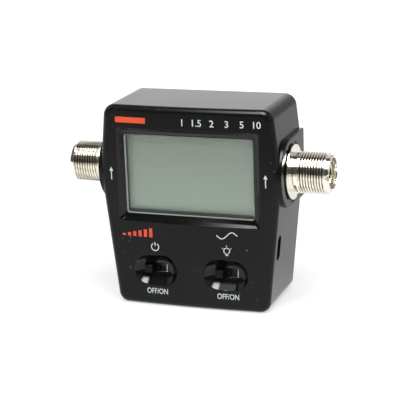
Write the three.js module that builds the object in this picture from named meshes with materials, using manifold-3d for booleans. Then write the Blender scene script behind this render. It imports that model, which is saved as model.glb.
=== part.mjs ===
// Compact digital SWR meter: a black moulded housing with a sunk display window, two slide switches in
// oval finger bowls and a threaded coaxial socket on each side. Millimetres, +X to the right seen from the
// front, front towards -Y, +Z up. The origin is the middle of the rectangle that the object stands in.
import * as THREE from 'three';
import { mergeVertices } from 'three/addons/utils/BufferGeometryUtils.js';
import Module from 'manifold-3d';

const wasm = await Module();
wasm.setup();

// Driving dimensions
const windowWidth = 51.4;
const windowHeight = 31.2;
const windowFoot = 36.3;
const windowDepth = 2.4;
const faceMargin = 10.4;
const topBand = 11.2;
const topTaper = 2.8;
const footTaper = 5.6;
const wall = 2.0;
const seatGap = 0.3;
const cutOverrun = 1.0;
const socketRise = 0.3;
const widestRise = 0.4;
const bossStandout = 0.4;
const lensThickness = 1.5;
const frameFace = 1.1;
const plateThickness = 0.9;
const guideThickness = 1.2;
const boardThickness = 1.6;
const lineClearance = 5.4;
const bowlSpacing = 28.8;
const bowlCentreHeight = 14.6;
const knobTravel = 5.0;
const knobWidth = 3.2;

// The face is as wide and high as the window and the bands round it
const windowCentreHeight = windowFoot + windowHeight / 2;
const height = windowFoot + windowHeight + topBand;
const socketHeight = windowCentreHeight + socketRise;
const widestHeight = socketHeight + widestRise;
const widestWidth = windowWidth + 2 * faceMargin;
const topWidth = widestWidth - 2 * topTaper;
const footWidth = widestWidth - 2 * footTaper;
const bossFaceHalf = widestWidth / 2 + bossStandout;

// Depths behind the front, from the window to the board: lens, frame, display, light guide. The sockets'
// axis lies behind the board, in the middle of the housing.
const lensFront = windowDepth + seatGap;
const windowFrameDepth = lensFront + lensThickness + seatGap;
const frameDepthStart = windowFrameDepth + seatGap;
const displayDepth = frameDepthStart + frameFace + seatGap;
const displayEnd = displayDepth + 2 * plateThickness;
const guideStart = displayEnd + seatGap;
const boardDepth = guideStart + guideThickness + seatGap;
const boardEnd = boardDepth + boardThickness;
const socketDepth = boardEnd + lineClearance;
const depth = 2 * socketDepth;
const front = -socketDepth;
const rear = socketDepth;

// Outline of the housing seen from the front
const topCornerRadius = 4.6;
const footCornerRadius = 4.2;
const frontEdgeRadius = 2.5;
const rearEdgeChamfer = 0.5;
const faceCrown = 1.5;
const frontWall = 2.2;
const leastCornerRadius = 0.4;
const cornerSteps = 5;
const edgeSteps = 4;
const hiddenEdgeSteps = 1;

// Faces of round forms, and half the faces of a round outline
const largeSides = 28;
const mediumSides = 20;
const smallSides = 12;
const cornerCurve = 2;
const ovalCurve = 6;
const holeCurve = 12;
const weldTolerance = 1e-5;

const finishes = {
  blackAbs: { color: 0x1c1d1f, roughness: 0.5, metalness: 0 },
  glossBlack: { color: 0x101112, roughness: 0.22, metalness: 0 },
  acrylic: { color: 0x9aa39f, roughness: 0.08, metalness: 0 },
  displayGlass: { color: 0x8c948f, roughness: 0.25, metalness: 0 },
  milky: { color: 0xd9dcd6, roughness: 0.4, metalness: 0 },
  nickel: { color: 0xc9c1b2, roughness: 0.25, metalness: 1 },
  brass: { color: 0xb99a56, roughness: 0.3, metalness: 1 },
  tinPlate: { color: 0xb4b6b8, roughness: 0.38, metalness: 1 },
  steel: { color: 0x8f9295, roughness: 0.35, metalness: 1 },
  boardGreen: { color: 0x1f5a38, roughness: 0.45, metalness: 0 },
  chipBlack: { color: 0x232427, roughness: 0.6, metalness: 0 },
  fluoroplastic: { color: 0xe9e6de, roughness: 0.45, metalness: 0 },
  ferrite: { color: 0x3b3a3a, roughness: 0.7, metalness: 0 },
  copperWire: { color: 0xa9552b, roughness: 0.35, metalness: 1 },
  cellFoil: { color: 0xa7abb0, roughness: 0.35, metalness: 0.8 },
  foam: { color: 0x3a3b3d, roughness: 0.95, metalness: 0 },
  elastomer: { color: 0xb7a99a, roughness: 0.8, metalness: 0 },
  lampYellow: { color: 0xe6dfae, roughness: 0.4, metalness: 0 },
  redLead: { color: 0x9c2a22, roughness: 0.5, metalness: 0 },
};

// Closed geometry with shared vertices and no flat triangles
function weld(geometry) {
  const bare = geometry.clone();
  bare.deleteAttribute('normal');
  bare.deleteAttribute('uv');
  const merged = mergeVertices(bare, weldTolerance);
  const source = merged.index.array;
  const kept = [];
  for (let i = 0; i < source.length; i += 3) {
    const [a, b, c] = [source[i], source[i + 1], source[i + 2]];
    if (a !== b && b !== c && a !== c) kept.push(a, b, c);
  }
  merged.setIndex(kept);
  return merged;
}

// Six times the volume inside the faces, negative where they point inwards
function signedVolume(geometry) {
  const place = geometry.attributes.position;
  const index = geometry.index.array;
  const [a, b, c] = [new THREE.Vector3(), new THREE.Vector3(), new THREE.Vector3()];
  let total = 0;
  for (let i = 0; i < index.length; i += 3) {
    a.fromBufferAttribute(place, index[i]);
    b.fromBufferAttribute(place, index[i + 1]);
    c.fromBufferAttribute(place, index[i + 2]);
    total += a.dot(b.cross(c));
  }
  return total;
}

function solid(geometry) {
  const closed = weld(geometry);
  const triangles = Uint32Array.from(closed.index.array);
  if (signedVolume(closed) < 0) triangles.reverse();
  const vertProperties = Float32Array.from(closed.attributes.position.array);
  return new wasm.Manifold(new wasm.Mesh({ numProp: 3, vertProperties, triVerts: triangles }));
}

const join = (bodies) => bodies.reduce((whole, body) => whole.add(body));
const cut = (body, tools) => tools.reduce((left, tool) => left.subtract(tool), body);

function meshOf(name, body, finish) {
  const result = body.getMesh();
  const geometry = new THREE.BufferGeometry();
  const stride = result.numProp;
  const count = result.vertProperties.length / stride;
  const places = new Float32Array(count * 3);
  for (let i = 0; i < count; i += 1) {
    for (let k = 0; k < 3; k += 1) places[i * 3 + k] = result.vertProperties[i * stride + k];
  }
  geometry.setAttribute('position', new THREE.BufferAttribute(places, 3));
  geometry.setIndex(Array.from(result.triVerts));
  geometry.computeVertexNormals();
  const mesh = new THREE.Mesh(geometry, new THREE.MeshStandardMaterial(finishes[finish]));
  mesh.name = name;
  return mesh;
}

// Shapes drawn in the X-Z plane and carried along Y, between two depths behind the front
function slabY(shape, fromDepth, toDepth, curveSegments = cornerCurve) {
  const thickness = toDepth - fromDepth;
  const geometry = new THREE.ExtrudeGeometry(shape, { depth: thickness, bevelEnabled: false, curveSegments });
  geometry.rotateX(Math.PI / 2);
  geometry.translate(0, front + toDepth, 0);
  return solid(geometry);
}

// Shapes drawn in the Y-Z plane and carried along X, between two places
function slabX(shape, fromX, toX, curveSegments = cornerCurve) {
  const thickness = toX - fromX;
  const geometry = new THREE.ExtrudeGeometry(shape, { depth: thickness, bevelEnabled: false, curveSegments });
  geometry.rotateY(Math.PI / 2).rotateX(Math.PI / 2);
  geometry.translate(fromX, 0, 0);
  return solid(geometry);
}

// Box between two X places, two depths behind the front and two heights
function block(fromX, toX, fromDepth, toDepth, fromZ, toZ) {
  const geometry = new THREE.BoxGeometry(toX - fromX, toDepth - fromDepth, toZ - fromZ);
  geometry.translate((fromX + toX) / 2, front + (fromDepth + toDepth) / 2, (fromZ + toZ) / 2);
  return solid(geometry);
}

// Rod along Y
function rodY(x, z, radius, fromDepth, toDepth, sides = mediumSides) {
  const geometry = new THREE.CylinderGeometry(radius, radius, toDepth - fromDepth, sides);
  geometry.translate(x, front + (fromDepth + toDepth) / 2, z);
  return solid(geometry);
}

// Profile of [radius, place along X] pairs turned round the socket axis
function turned(profile, sides = largeSides) {
  let turn = 0;
  profile.forEach(([r, a], i) => {
    const [nextR, nextA] = profile[(i + 1) % profile.length];
    turn += r * nextA - nextR * a;
  });
  const ordered = turn < 0 ? [...profile].reverse() : profile;
  const points = [...ordered, ordered[0]].map(([r, a]) => new THREE.Vector2(r, a));
  const geometry = new THREE.LatheGeometry(points, sides);
  geometry.rotateZ(-Math.PI / 2);
  geometry.translate(0, 0, socketHeight);
  return solid(geometry);
}

// The same body on the other side of the housing
function mirrored(body) {
  const result = body.getMesh();
  const geometry = new THREE.BufferGeometry();
  geometry.setAttribute('position', new THREE.BufferAttribute(Float32Array.from(result.vertProperties), 3));
  geometry.setIndex(Array.from(result.triVerts));
  geometry.scale(-1, 1, 1);
  return solid(geometry);
}

// Rectangle, with rounded corners where it has a radius, and its long sides in as many steps as asked
function rectangle(halfWidth, halfHeight, x = 0, z = 0, radius = 0, sideSteps = 1) {
  const shape = new THREE.Shape();
  const [left, right, low, high] = [x - halfWidth, x + halfWidth, z - halfHeight, z + halfHeight];
  if (radius === 0) {
    return shape.moveTo(left, low).lineTo(right, low).lineTo(right, high).lineTo(left, high);
  }
  const flat = halfWidth - radius;
  shape.moveTo(x - flat, low);
  for (let k = 1; k <= sideSteps; k += 1) shape.lineTo(x - flat + 2 * flat * k / sideSteps, low);
  shape.absarc(right - radius, low + radius, radius, -Math.PI / 2, 0);
  shape.absarc(right - radius, high - radius, radius, 0, Math.PI / 2);
  for (let k = 1; k < sideSteps; k += 1) shape.lineTo(x + flat - 2 * flat * k / sideSteps, high);
  shape.absarc(left + radius, high - radius, radius, Math.PI / 2, Math.PI);
  shape.absarc(left + radius, low + radius, radius, Math.PI, Math.PI * 1.5);
  return shape;
}

// Round outline, by itself round the socket axis
function circle(radius, x = 0, z = socketHeight) {
  return new THREE.Shape().absarc(x, z, radius, 0, Math.PI * 2);
}

// Housing outline: each side slants from the widest point to the top edge and to the foot edge. Every
// value is for the right half; `inset` moves the outline inwards.
const ends = {
  top: { half: topWidth / 2, z: height, radius: topCornerRadius, up: 1 },
  foot: { half: footWidth / 2, z: 0, radius: footCornerRadius, up: -1 },
};

function slant(end, inset) {
  const run = end.half - widestWidth / 2;
  const rise = end.z - widestHeight;
  const slope = run / rise;
  const shift = inset * Math.hypot(run, rise) / Math.abs(rise);
  return {
    slope,
    shift,
    xAt: (z) => widestWidth / 2 + slope * (z - widestHeight) - shift,
    zAt: (x) => widestHeight + (x - widestWidth / 2 + shift) / slope,
  };
}

function widestPoint(inset) {
  const upper = slant(ends.top, inset);
  const lower = slant(ends.foot, inset);
  const z = widestHeight + (upper.shift - lower.shift) / (upper.slope - lower.slope);
  return { x: upper.xAt(z), z };
}

function corner(end, inset) {
  const radius = Math.max(end.radius - inset, leastCornerRadius);
  const z = end.z - end.up * (inset + radius);
  const x = slant(end, inset + radius).xAt(z);
  const line = slant(end, inset);
  const turn = Math.PI / 2 + Math.atan(end.up * line.slope);
  return { x, z, radius, turn, lastX: x + radius * Math.sin(turn) };
}

// Height of the outline over x on the top or the foot side
function outlineZ(end, inset, x) {
  const bend = corner(end, inset);
  const across = Math.abs(x);
  if (across <= bend.x) return end.z - end.up * inset;
  if (across <= bend.lastX) {
    return bend.z + end.up * Math.sqrt(Math.max(bend.radius ** 2 - (across - bend.x) ** 2, 0));
  }
  return slant(end, inset).zAt(across);
}

// Places across the housing, as shares of its half width, at which both rounded corners are well followed
function acrossShares() {
  const half = widestPoint(0).x;
  const places = [0, 1];
  for (const end of Object.values(ends)) {
    const bend = corner(end, 0);
    for (let k = 0; k <= cornerSteps; k += 1) {
      places.push((bend.x + bend.radius * Math.sin(bend.turn * k / cornerSteps)) / half);
    }
  }
  const flatEnd = Math.min(...places.filter((share) => share > 0));
  for (let k = 1; k < cornerSteps; k += 1) places.push(flatEnd * k / cornerSteps);
  const right = [...new Set(places)].sort((a, b) => a - b);
  return [...right.slice(1).reverse().map((share) => -share), ...right];
}

const shares = acrossShares();
const crownAt = (x) => faceCrown * (2 * x / widestWidth) ** 2;

// Closed solid inside the outline, from a crowned and rounded front to a flat rear
function housingBody(inset, frontDepth, edgeRadius, rearDepth, rearChamfer, steps = edgeSteps) {
  const rings = [];
  const addRing = (ringInset, yAt) => {
    const widest = widestPoint(ringInset);
    const upper = [];
    const lower = [];
    for (const share of shares) {
      const x = share * widest.x;
      const atWidest = Math.abs(share) === 1;
      upper.push([x, yAt(x), atWidest ? widest.z : outlineZ(ends.top, ringInset, x)]);
      if (!atWidest) lower.push([x, yAt(x), outlineZ(ends.foot, ringInset, x)]);
    }
    rings.push([...upper, ...lower.reverse()]);
  };
  for (let k = steps; k >= 0; k -= 1) {
    const angle = Math.PI / 2 * k / steps;
    const back = edgeRadius * (1 - Math.sin(angle));
    addRing(inset + edgeRadius * (1 - Math.cos(angle)), (x) => front + frontDepth + crownAt(x) + back);
  }
  if (rearChamfer > 0) addRing(inset, () => front + rearDepth - rearChamfer);
  addRing(inset + rearChamfer, () => front + rearDepth);

  const around = rings[0].length;
  const acrossCount = shares.length;
  const index = [];
  const quad = (a, b, c, d) => index.push(a, b, c, a, c, d);
  for (let r = 0; r + 1 < rings.length; r += 1) {
    for (let i = 0; i < around; i += 1) {
      const j = (i + 1) % around;
      quad(r * around + i, r * around + j, (r + 1) * around + j, (r + 1) * around + i);
    }
  }
  const lowerOf = (i) => (i === 0 ? 0 : i === acrossCount - 1 ? i : around - i);
  const cap = (base, flip) => {
    for (let i = 0; i + 1 < acrossCount; i += 1) {
      const [a, b, c, d] = [i, i + 1, lowerOf(i + 1), lowerOf(i)].map((k) => base + k);
      if (flip) quad(a, b, c, d);
      else quad(d, c, b, a);
    }
  };
  cap(0, false);
  cap((rings.length - 1) * around, true);
  const geometry = new THREE.BufferGeometry();
  geometry.setAttribute('position', new THREE.Float32BufferAttribute(rings.flat(2), 3));
  geometry.setIndex(index);
  return solid(geometry);
}

// Flat outline, for plates that fill the housing
function outlineShape(inset) {
  const widest = widestPoint(inset);
  const top = corner(ends.top, inset);
  const foot = corner(ends.foot, inset);
  const [up, down] = [Math.PI / 2, Math.PI * 1.5];
  const shape = new THREE.Shape();
  shape.absarc(top.x, top.z, top.radius, up - top.turn, up);
  shape.absarc(-top.x, top.z, top.radius, up, up + top.turn);
  shape.lineTo(-widest.x, widest.z);
  shape.absarc(-foot.x, foot.z, foot.radius, down - foot.turn, down);
  shape.absarc(foot.x, foot.z, foot.radius, down, down + foot.turn);
  shape.lineTo(widest.x, widest.z);
  return shape;
}

// Display window: sloping walls lead from the face to the opening, the lens lies behind it
const windowSlopeWidth = 2.2;
const windowCornerRadius = 1.2;
const windowSideSteps = 10;
const lensOverlap = 1.6;
const lensCornerRadius = 1.0;
const windowFrameRim = 3.4;
const lensHalf = { x: windowWidth / 2 + lensOverlap, z: windowHeight / 2 + lensOverlap };

// The walls slope by an even width from the crowned face to the flat opening
function windowPocket() {
  const outline = (out) => rectangle(
    windowWidth / 2 + out, windowHeight / 2 + out, 0, windowCentreHeight, windowCornerRadius, windowSideSteps,
  ).getPoints(cornerCurve);
  return loftY([
    { points: outline(windowSlopeWidth), at: () => -cutOverrun },
    { points: outline(windowSlopeWidth), at: crownAt },
    { points: outline(0), at: () => windowDepth },
    { points: outline(0), at: () => windowDepth + cutOverrun },
  ]);
}

// Solid through several rounded outlines with as many points each. `at` gives a row's depth behind the front
// over x. Each end is a fan round its middle.
function loftY(rows) {
  const first = rows[0].points;
  const count = first.length - (first[0].equals(first.at(-1)) ? 1 : 0);
  const places = [];
  const index = [];
  for (const { points, at } of rows) {
    for (const { x, y: z } of points.slice(0, count)) places.push(x, front + at(x), z);
  }
  for (let r = 0; r + 1 < rows.length; r += 1) {
    for (let i = 0; i < count; i += 1) {
      const [a, b] = [r * count + i, r * count + (i + 1) % count];
      index.push(a, b, b + count, a, b + count, a + count);
    }
  }
  const middle = new THREE.Box2().setFromPoints(first).getCenter(new THREE.Vector2());
  const centres = [rows[0], rows.at(-1)].map(({ at }, end) => {
    places.push(middle.x, front + at(middle.x), middle.y);
    return rows.length * count + end;
  });
  const last = (rows.length - 1) * count;
  for (let i = 0; i < count; i += 1) {
    const j = (i + 1) % count;
    index.push(centres[0], j, i, centres[1], last + i, last + j);
  }
  const geometry = new THREE.BufferGeometry();
  geometry.setAttribute('position', new THREE.Float32BufferAttribute(places, 3));
  geometry.setIndex(index);
  return solid(geometry);
}

// Finger bowls: ovals that sink like a spoon to a small flat floor, with a slot for the switch lever
const bowlLength = 18.2;
const bowlHeight = 12.0;
const bowlDepth = 3.2;
const bowlFloorThickness = 1.0;
const bowlFloorInset = 3.8;
const bowlWall = 1.2;
const bowlSteps = 5;
const slotShift = -0.6;
const slotEndGap = 0.4;
const slotSideGap = 0.35;
const knobHeight = 3.1;
const slotLength = knobTravel + knobWidth + 2 * slotEndGap;

function oval(length, ovalHeight, x, z) {
  const radius = ovalHeight / 2;
  const straight = length / 2 - radius;
  const shape = new THREE.Shape();
  shape.absarc(x + straight, z, radius, -Math.PI / 2, Math.PI / 2);
  shape.absarc(x - straight, z, radius, Math.PI / 2, Math.PI * 1.5);
  return shape;
}

function bowlHollow(x) {
  const ring = (inset) => oval(bowlLength - 2 * inset, bowlHeight - 2 * inset, x, bowlCentreHeight)
    .getPoints(ovalCurve);
  const rows = [{ points: ring(0), at: () => -cutOverrun }];
  for (let k = 0; k <= bowlSteps; k += 1) {
    const angle = Math.PI / 2 * k / bowlSteps;
    const sunk = crownAt(x) + (bowlDepth - crownAt(x)) * Math.sin(angle);
    rows.push({ points: ring(bowlFloorInset * (1 - Math.cos(angle))), at: () => sunk });
  }
  return loftY(rows);
}

// Display and the frame round it
const displayMargin = 0.8;
const displayHalf = windowWidth / 2 + displayMargin;
const displayTop = windowFoot + windowHeight + displayMargin;
const displayFoot = windowFoot - displayMargin;
const ledgeHeight = 1.9;
const ledgeFoot = displayFoot - ledgeHeight;
const frameWall = 0.8;
const frameHalf = displayHalf + seatGap + frameWall;
const frameTop = displayTop + seatGap + frameWall;
const frameFoot = ledgeFoot - seatGap - frameWall;

// Screw posts
const casePostRadius = 2.6;
const casePilotRadius = 1.3;
const topPostInset = { x: 5.1, z: 4.4 };
const footPostInset = { x: 5.5, z: 5.0 };
const casePosts = [
  { x: topWidth / 2 - topPostInset.x, z: height - topPostInset.z },
  { x: footWidth / 2 - footPostInset.x, z: footPostInset.z },
].flatMap(({ x, z }) => [{ x: -x, z }, { x, z }]);
const coverThickness = 2.0;
const coverBossDepth = 3.0;
const coverInnerDepth = depth - coverThickness;
const casePostEnd = coverInnerDepth - coverBossDepth - seatGap;
const boardPostRadius = 2.2;
const boardPilotRadius = 1.1;
const boardRim = 0.3;
const boardHalf = frameHalf + boardRim;
const boardPostInset = 7.9;
const boardPostDrop = 3.9;
const boardPostHalf = boardHalf - boardPostInset;
const boardPostHeight = frameFoot - boardPostDrop;
const boardPosts = [
  { x: -boardPostHalf, z: boardPostHeight },
  { x: boardPostHalf, z: boardPostHeight },
  { x: 0, z: bowlCentreHeight },
];
const boardPostEnd = boardDepth - seatGap;

// Side bosses: a round front, straight edges to the rear, a vertical face with a round recess
const socketThreadRadius = 7.94;
const socketHoleRadius = socketThreadRadius + seatGap;
const flangeRadius = 10.5;
const washerRadius = 10.3;
const bossRecessRim = 1.1;
const bossRecessRadius = flangeRadius + bossRecessRim;
const bossRecessDepth = 0.5;
const bossRim = 1.6;
const bossRadius = bossRecessRadius + bossRim;
const bossFrontGap = 1.4;
const bossFrontCentre = bossFrontGap + bossRadius;
const bossChamfer = 0.5;
const bossRoot = 4.0;
const bossCurve = 10;
const innerPadRim = 0.7;
const innerPadRadius = washerRadius + innerPadRim;
const bossThickness = 3.5;
const innerPadHalf = bossFaceHalf - bossThickness;

function bossShape(inset) {
  const radius = bossRadius - inset;
  const centre = front + bossFrontCentre;
  const shape = new THREE.Shape();
  shape.moveTo(rear - rearEdgeChamfer - inset, socketHeight - radius);
  shape.lineTo(rear - rearEdgeChamfer - inset, socketHeight + radius);
  shape.absarc(centre, socketHeight, radius, Math.PI / 2, Math.PI * 1.5);
  return shape;
}

function sideBoss() {
  const body = new THREE.ExtrudeGeometry(bossShape(bossChamfer), {
    depth: bossRoot - bossChamfer,
    bevelEnabled: true,
    bevelThickness: bossChamfer,
    bevelSize: bossChamfer,
    bevelSegments: 1,
    curveSegments: bossCurve,
  });
  body.rotateY(Math.PI / 2).rotateX(Math.PI / 2);
  body.translate(bossFaceHalf - bossRoot, 0, 0);
  return solid(body);
}

// Charging socket, upright in the right side
const portLength = 8.9;
const portDrop = 3.45;
const portCentreHeight = frameFoot - portDrop - portLength / 2;
const portWidth = 3.2;
const portShellLength = 7.3;
const portShellWall = 0.35;
const portSlotClearance = 0.4;
const portCentreDepth = boardDepth - seatGap - portWidth / 2;
const sideAt = (z) => slant(z > widestHeight ? ends.top : ends.foot, 0).xAt(z);

function uprightOval(length, width, z) {
  const radius = width / 2;
  const straight = length / 2 - radius;
  const centre = front + portCentreDepth;
  const shape = new THREE.Shape();
  shape.absarc(centre, z + straight, radius, 0, Math.PI);
  shape.absarc(centre, z - straight, radius, Math.PI, Math.PI * 2);
  return shape;
}

function frontCase() {
  const hiddenEdgeRadius = frontEdgeRadius - wall / 2;
  const cavity = housingBody(wall, frontWall, hiddenEdgeRadius, depth + cutOverrun, 0, hiddenEdgeSteps);
  const outside = join([
    housingBody(0, 0, frontEdgeRadius, depth, rearEdgeChamfer),
    sideBoss(),
    mirrored(sideBoss()),
  ]);
  const rimHalf = { x: windowWidth / 2 + windowFrameRim, z: windowHeight / 2 + windowFrameRim };
  const rimShape = rectangle(rimHalf.x, rimHalf.z, 0, windowCentreHeight, windowCornerRadius);
  const bowlBoss = (x) => slabY(
    oval(bowlLength + 2 * bowlWall, bowlHeight + 2 * bowlWall, x, bowlCentreHeight),
    wall, bowlDepth + bowlFloorThickness, ovalCurve,
  );
  const pad = slabX(circle(innerPadRadius), innerPadHalf, bossFaceHalf - wall, holeCurve);
  const inner = join([
    slabY(rimShape, wall, windowFrameDepth),
    ...[-1, 1].map((side) => bowlBoss(side * bowlSpacing / 2)),
    ...casePosts.map(({ x, z }) => rodY(x, z, casePostRadius, wall, casePostEnd, smallSides)),
    ...boardPosts.map(({ x, z }) => rodY(x, z, boardPostRadius, wall, boardPostEnd, smallSides)),
    pad,
    mirrored(pad),
  ]);
  const body = cut(outside, [cavity]).add(inner);

  const lensRebate = slabY(
    rectangle(lensHalf.x + seatGap, lensHalf.z + seatGap, 0, windowCentreHeight, lensCornerRadius),
    windowDepth, windowFrameDepth + cutOverrun,
  );
  const leverSlot = (x) => slabY(
    rectangle(slotLength / 2, knobHeight / 2 + slotSideGap, x + slotShift, bowlCentreHeight),
    bowlDepth - cutOverrun, bowlDepth + bowlFloorThickness + cutOverrun,
  );
  const socketHole = join([
    slabX(circle(socketHoleRadius), innerPadHalf - cutOverrun, bossFaceHalf, holeCurve),
    slabX(circle(bossRecessRadius), bossFaceHalf - bossRecessDepth, bossFaceHalf + cutOverrun, holeCurve),
  ]);
  const portSlot = slabX(
    uprightOval(portLength + 2 * portSlotClearance, portWidth + 2 * portSlotClearance, portCentreHeight),
    sideAt(portCentreHeight) - wall - cutOverrun, sideAt(portCentreHeight) + cutOverrun, ovalCurve,
  );
  const pilot = (place, radius, end) => rodY(
    place.x, place.z, radius, frontWall + wall, end + cutOverrun, smallSides,
  );
  return cut(body, [
    windowPocket(),
    lensRebate,
    ...[-1, 1].map((side) => bowlHollow(side * bowlSpacing / 2)),
    ...[-1, 1].map((side) => leverSlot(side * bowlSpacing / 2)),
    ...casePosts.map((post) => pilot(post, casePilotRadius, casePostEnd)),
    ...boardPosts.map((post) => pilot(post, boardPilotRadius, boardPostEnd)),
    socketHole,
    mirrored(socketHole),
    portSlot,
  ]);
}

// Rear cover with its locating lip and the counterbored bosses over the posts
const coverBossRadius = 3.4;
const counterboreRadius = 2.5;
const counterboreDepth = 3.4;
const lipInset = 1.0;
const lipThickness = 1.2;
const lipHeight = 1.6;

function rearCover() {
  const lip = outlineShape(wall + seatGap + lipInset);
  lip.holes.push(outlineShape(wall + seatGap + lipInset + lipThickness));
  const bossStart = coverInnerDepth - coverBossDepth;
  const plate = join([
    slabY(outlineShape(wall + seatGap), coverInnerDepth, depth),
    slabY(lip, coverInnerDepth - lipHeight, coverInnerDepth),
    ...casePosts.map(({ x, z }) => rodY(x, z, coverBossRadius, bossStart, coverInnerDepth)),
  ]);
  const kept = plate.intersect(slabY(outlineShape(wall + seatGap), 0, depth));
  return cut(kept, casePosts.flatMap(({ x, z }) => [
    rodY(x, z, counterboreRadius, depth - counterboreDepth, depth + cutOverrun),
    rodY(x, z, casePilotRadius, bossStart - cutOverrun, depth, smallSides),
  ]));
}

// Screw with its head towards the rear: a cylinder head with a cross recess, and a plain shank
const crossLengthShare = 0.55;
const crossWidthShare = 0.12;

function screw({ x, z }, headDepth, { headRadius, headHeight, shankRadius, shankLength }) {
  const [long, narrow] = [headRadius * crossLengthShare, headRadius * crossWidthShare];
  const middle = headDepth + headHeight / 2;
  const headEnd = headDepth + headHeight;
  const arm = (halfX, halfZ) => slabY(rectangle(halfX, halfZ, x, z), middle, headEnd + cutOverrun);
  return cut(join([
    rodY(x, z, headRadius, headDepth, headEnd),
    rodY(x, z, shankRadius, headDepth - shankLength, middle, smallSides),
  ]), [arm(long, narrow), arm(narrow, long)]);
}

const caseScrew = { headRadius: 2.1, headHeight: 1.5, shankRadius: 1.0, shankLength: 9.0 };
const boardScrew = { headRadius: 1.9, headHeight: 1.2, shankRadius: 0.8, shankLength: 5.0 };

function caseScrews() {
  const seat = depth - counterboreDepth + seatGap;
  return casePosts.map((post) => screw(post, seat, caseScrew));
}

// Display stack behind the lens
const frameLip = 0.6;

function windowLens() {
  return slabY(
    rectangle(lensHalf.x, lensHalf.z, 0, windowCentreHeight, lensCornerRadius),
    lensFront, lensFront + lensThickness,
  );
}

function displayGlass() {
  const middle = displayDepth + plateThickness;
  const plate = (start, end, low) => block(-displayHalf, displayHalf, start, end, low, displayTop);
  const [upper, lower] = [plate(displayDepth, middle, displayFoot), plate(middle, displayEnd, ledgeFoot)];
  return join([upper, lower]);
}

function displayFrame() {
  const pocketHalf = displayHalf + seatGap;
  return cut(block(-frameHalf, frameHalf, frameDepthStart, boardPostEnd, frameFoot, frameTop), [
    block(
      -windowWidth / 2 - frameLip, windowWidth / 2 + frameLip, frameDepthStart - cutOverrun, displayDepth,
      windowCentreHeight - windowHeight / 2 - frameLip, windowCentreHeight + windowHeight / 2 + frameLip,
    ),
    block(
      -pocketHalf, pocketHalf, displayDepth - seatGap, boardPostEnd + cutOverrun,
      frameFoot + frameWall, frameTop - frameWall,
    ),
  ]);
}

const lampLength = 3.0;
const lampHeight = 1.0;
const stripHeight = 1.2;
const stripInset = 3.5;
const stripHalf = displayHalf - stripInset;
const guideHalf = displayHalf - lampHeight - seatGap;
const lampPitch = 12.0;
const guideFoot = displayFoot + seatGap;

function lightGuide() {
  return block(-guideHalf, guideHalf, guideStart, guideStart + guideThickness, guideFoot, displayTop);
}

function backlightLamps() {
  const places = [windowCentreHeight - lampPitch / 2, windowCentreHeight + lampPitch / 2];
  return places.map((z) => block(
    guideHalf + seatGap, guideHalf + seatGap + lampHeight, guideStart, guideStart + guideThickness,
    z - lampLength / 2, z + lampLength / 2,
  ));
}

function contactStrip() {
  return block(-stripHalf, stripHalf, displayEnd + seatGap, boardPostEnd, ledgeFoot, ledgeFoot + stripHeight);
}

// Main board with the switches, the charging socket and the processor
const boardTopGap = 1.1;
const boardFootGap = 1.2;
const boardTop = height - topPostInset.z - casePostRadius - boardTopGap;
const boardFoot = footPostInset.z + casePostRadius + boardFootGap;
const boardCornerRadius = 1.5;
const boardHoleRadius = 1.2;

function mainBoard() {
  const shape = rectangle(
    boardHalf, (boardTop - boardFoot) / 2, 0, (boardTop + boardFoot) / 2, boardCornerRadius,
  );
  return cut(slabY(shape, boardDepth, boardEnd), boardPosts.map(({ x, z }) => rodY(
    x, z, boardHoleRadius, boardDepth - cutOverrun, boardEnd + cutOverrun, smallSides,
  )));
}

function boardScrews() {
  return boardPosts.map((post) => screw(post, boardEnd + seatGap, boardScrew));
}

const chipHalf = 5.0;
const chipThickness = 1.4;
const chipPlaceShare = { x: 0.287, z: 0.246 };
const chipPins = 6;
const chipPinPitch = 1.27;
const chipPinWidth = 0.5;
const chipPinReach = 0.9;
const chipPinThickness = 0.5;

// Place on the rear of the board, from shares of its half width and of its height
function onBoard(share) {
  return { x: boardHalf * share.x, z: boardFoot + (boardTop - boardFoot) * share.z };
}

// Box on the rear of the board round a place
function boardBlock({ x, z }, halfX, halfZ, thick) {
  const start = boardEnd + seatGap;
  return block(x - halfX, x + halfX, start, start + thick, z - halfZ, z + halfZ);
}

function controllerChip() {
  const place = onBoard(chipPlaceShare);
  const reach = chipHalf + chipPinReach;
  const parts = [boardBlock(place, chipHalf, chipHalf, chipThickness)];
  for (let k = 0; k < chipPins; k += 1) {
    const along = (k - (chipPins - 1) / 2) * chipPinPitch;
    parts.push(
      boardBlock({ x: place.x + along, z: place.z }, chipPinWidth / 2, reach, chipPinThickness),
      boardBlock({ x: place.x, z: place.z + along }, reach, chipPinWidth / 2, chipPinThickness),
    );
  }
  return join(parts);
}

const smallChip = { halfX: 2.5, halfZ: 2.0, thick: 1.4 };
const smallChipShares = [{ x: -0.215, z: 0.262 }, { x: -0.215, z: 0.157 }, { x: 0.645, z: 0.133 }];

function smallChips() {
  return smallChipShares.map((share) => boardBlock(
    onBoard(share), smallChip.halfX, smallChip.halfZ, smallChip.thick,
  ));
}

// Slide switches: a folded metal can with a slot, and a lever on a foot that slides inside it
const switchWall = 0.5;
const switchStart = bowlDepth + bowlFloorThickness + seatGap;
const switchEnd = boardPostEnd;
const switchHeight = 6.4;
const leverFootLength = 6.0;
const leverFootThickness = 1.4;
const leverFront = 0.8;
const knobEdge = 0.35;
const switchCavityLength = leverFootLength + knobTravel + 2 * slotEndGap;

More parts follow.
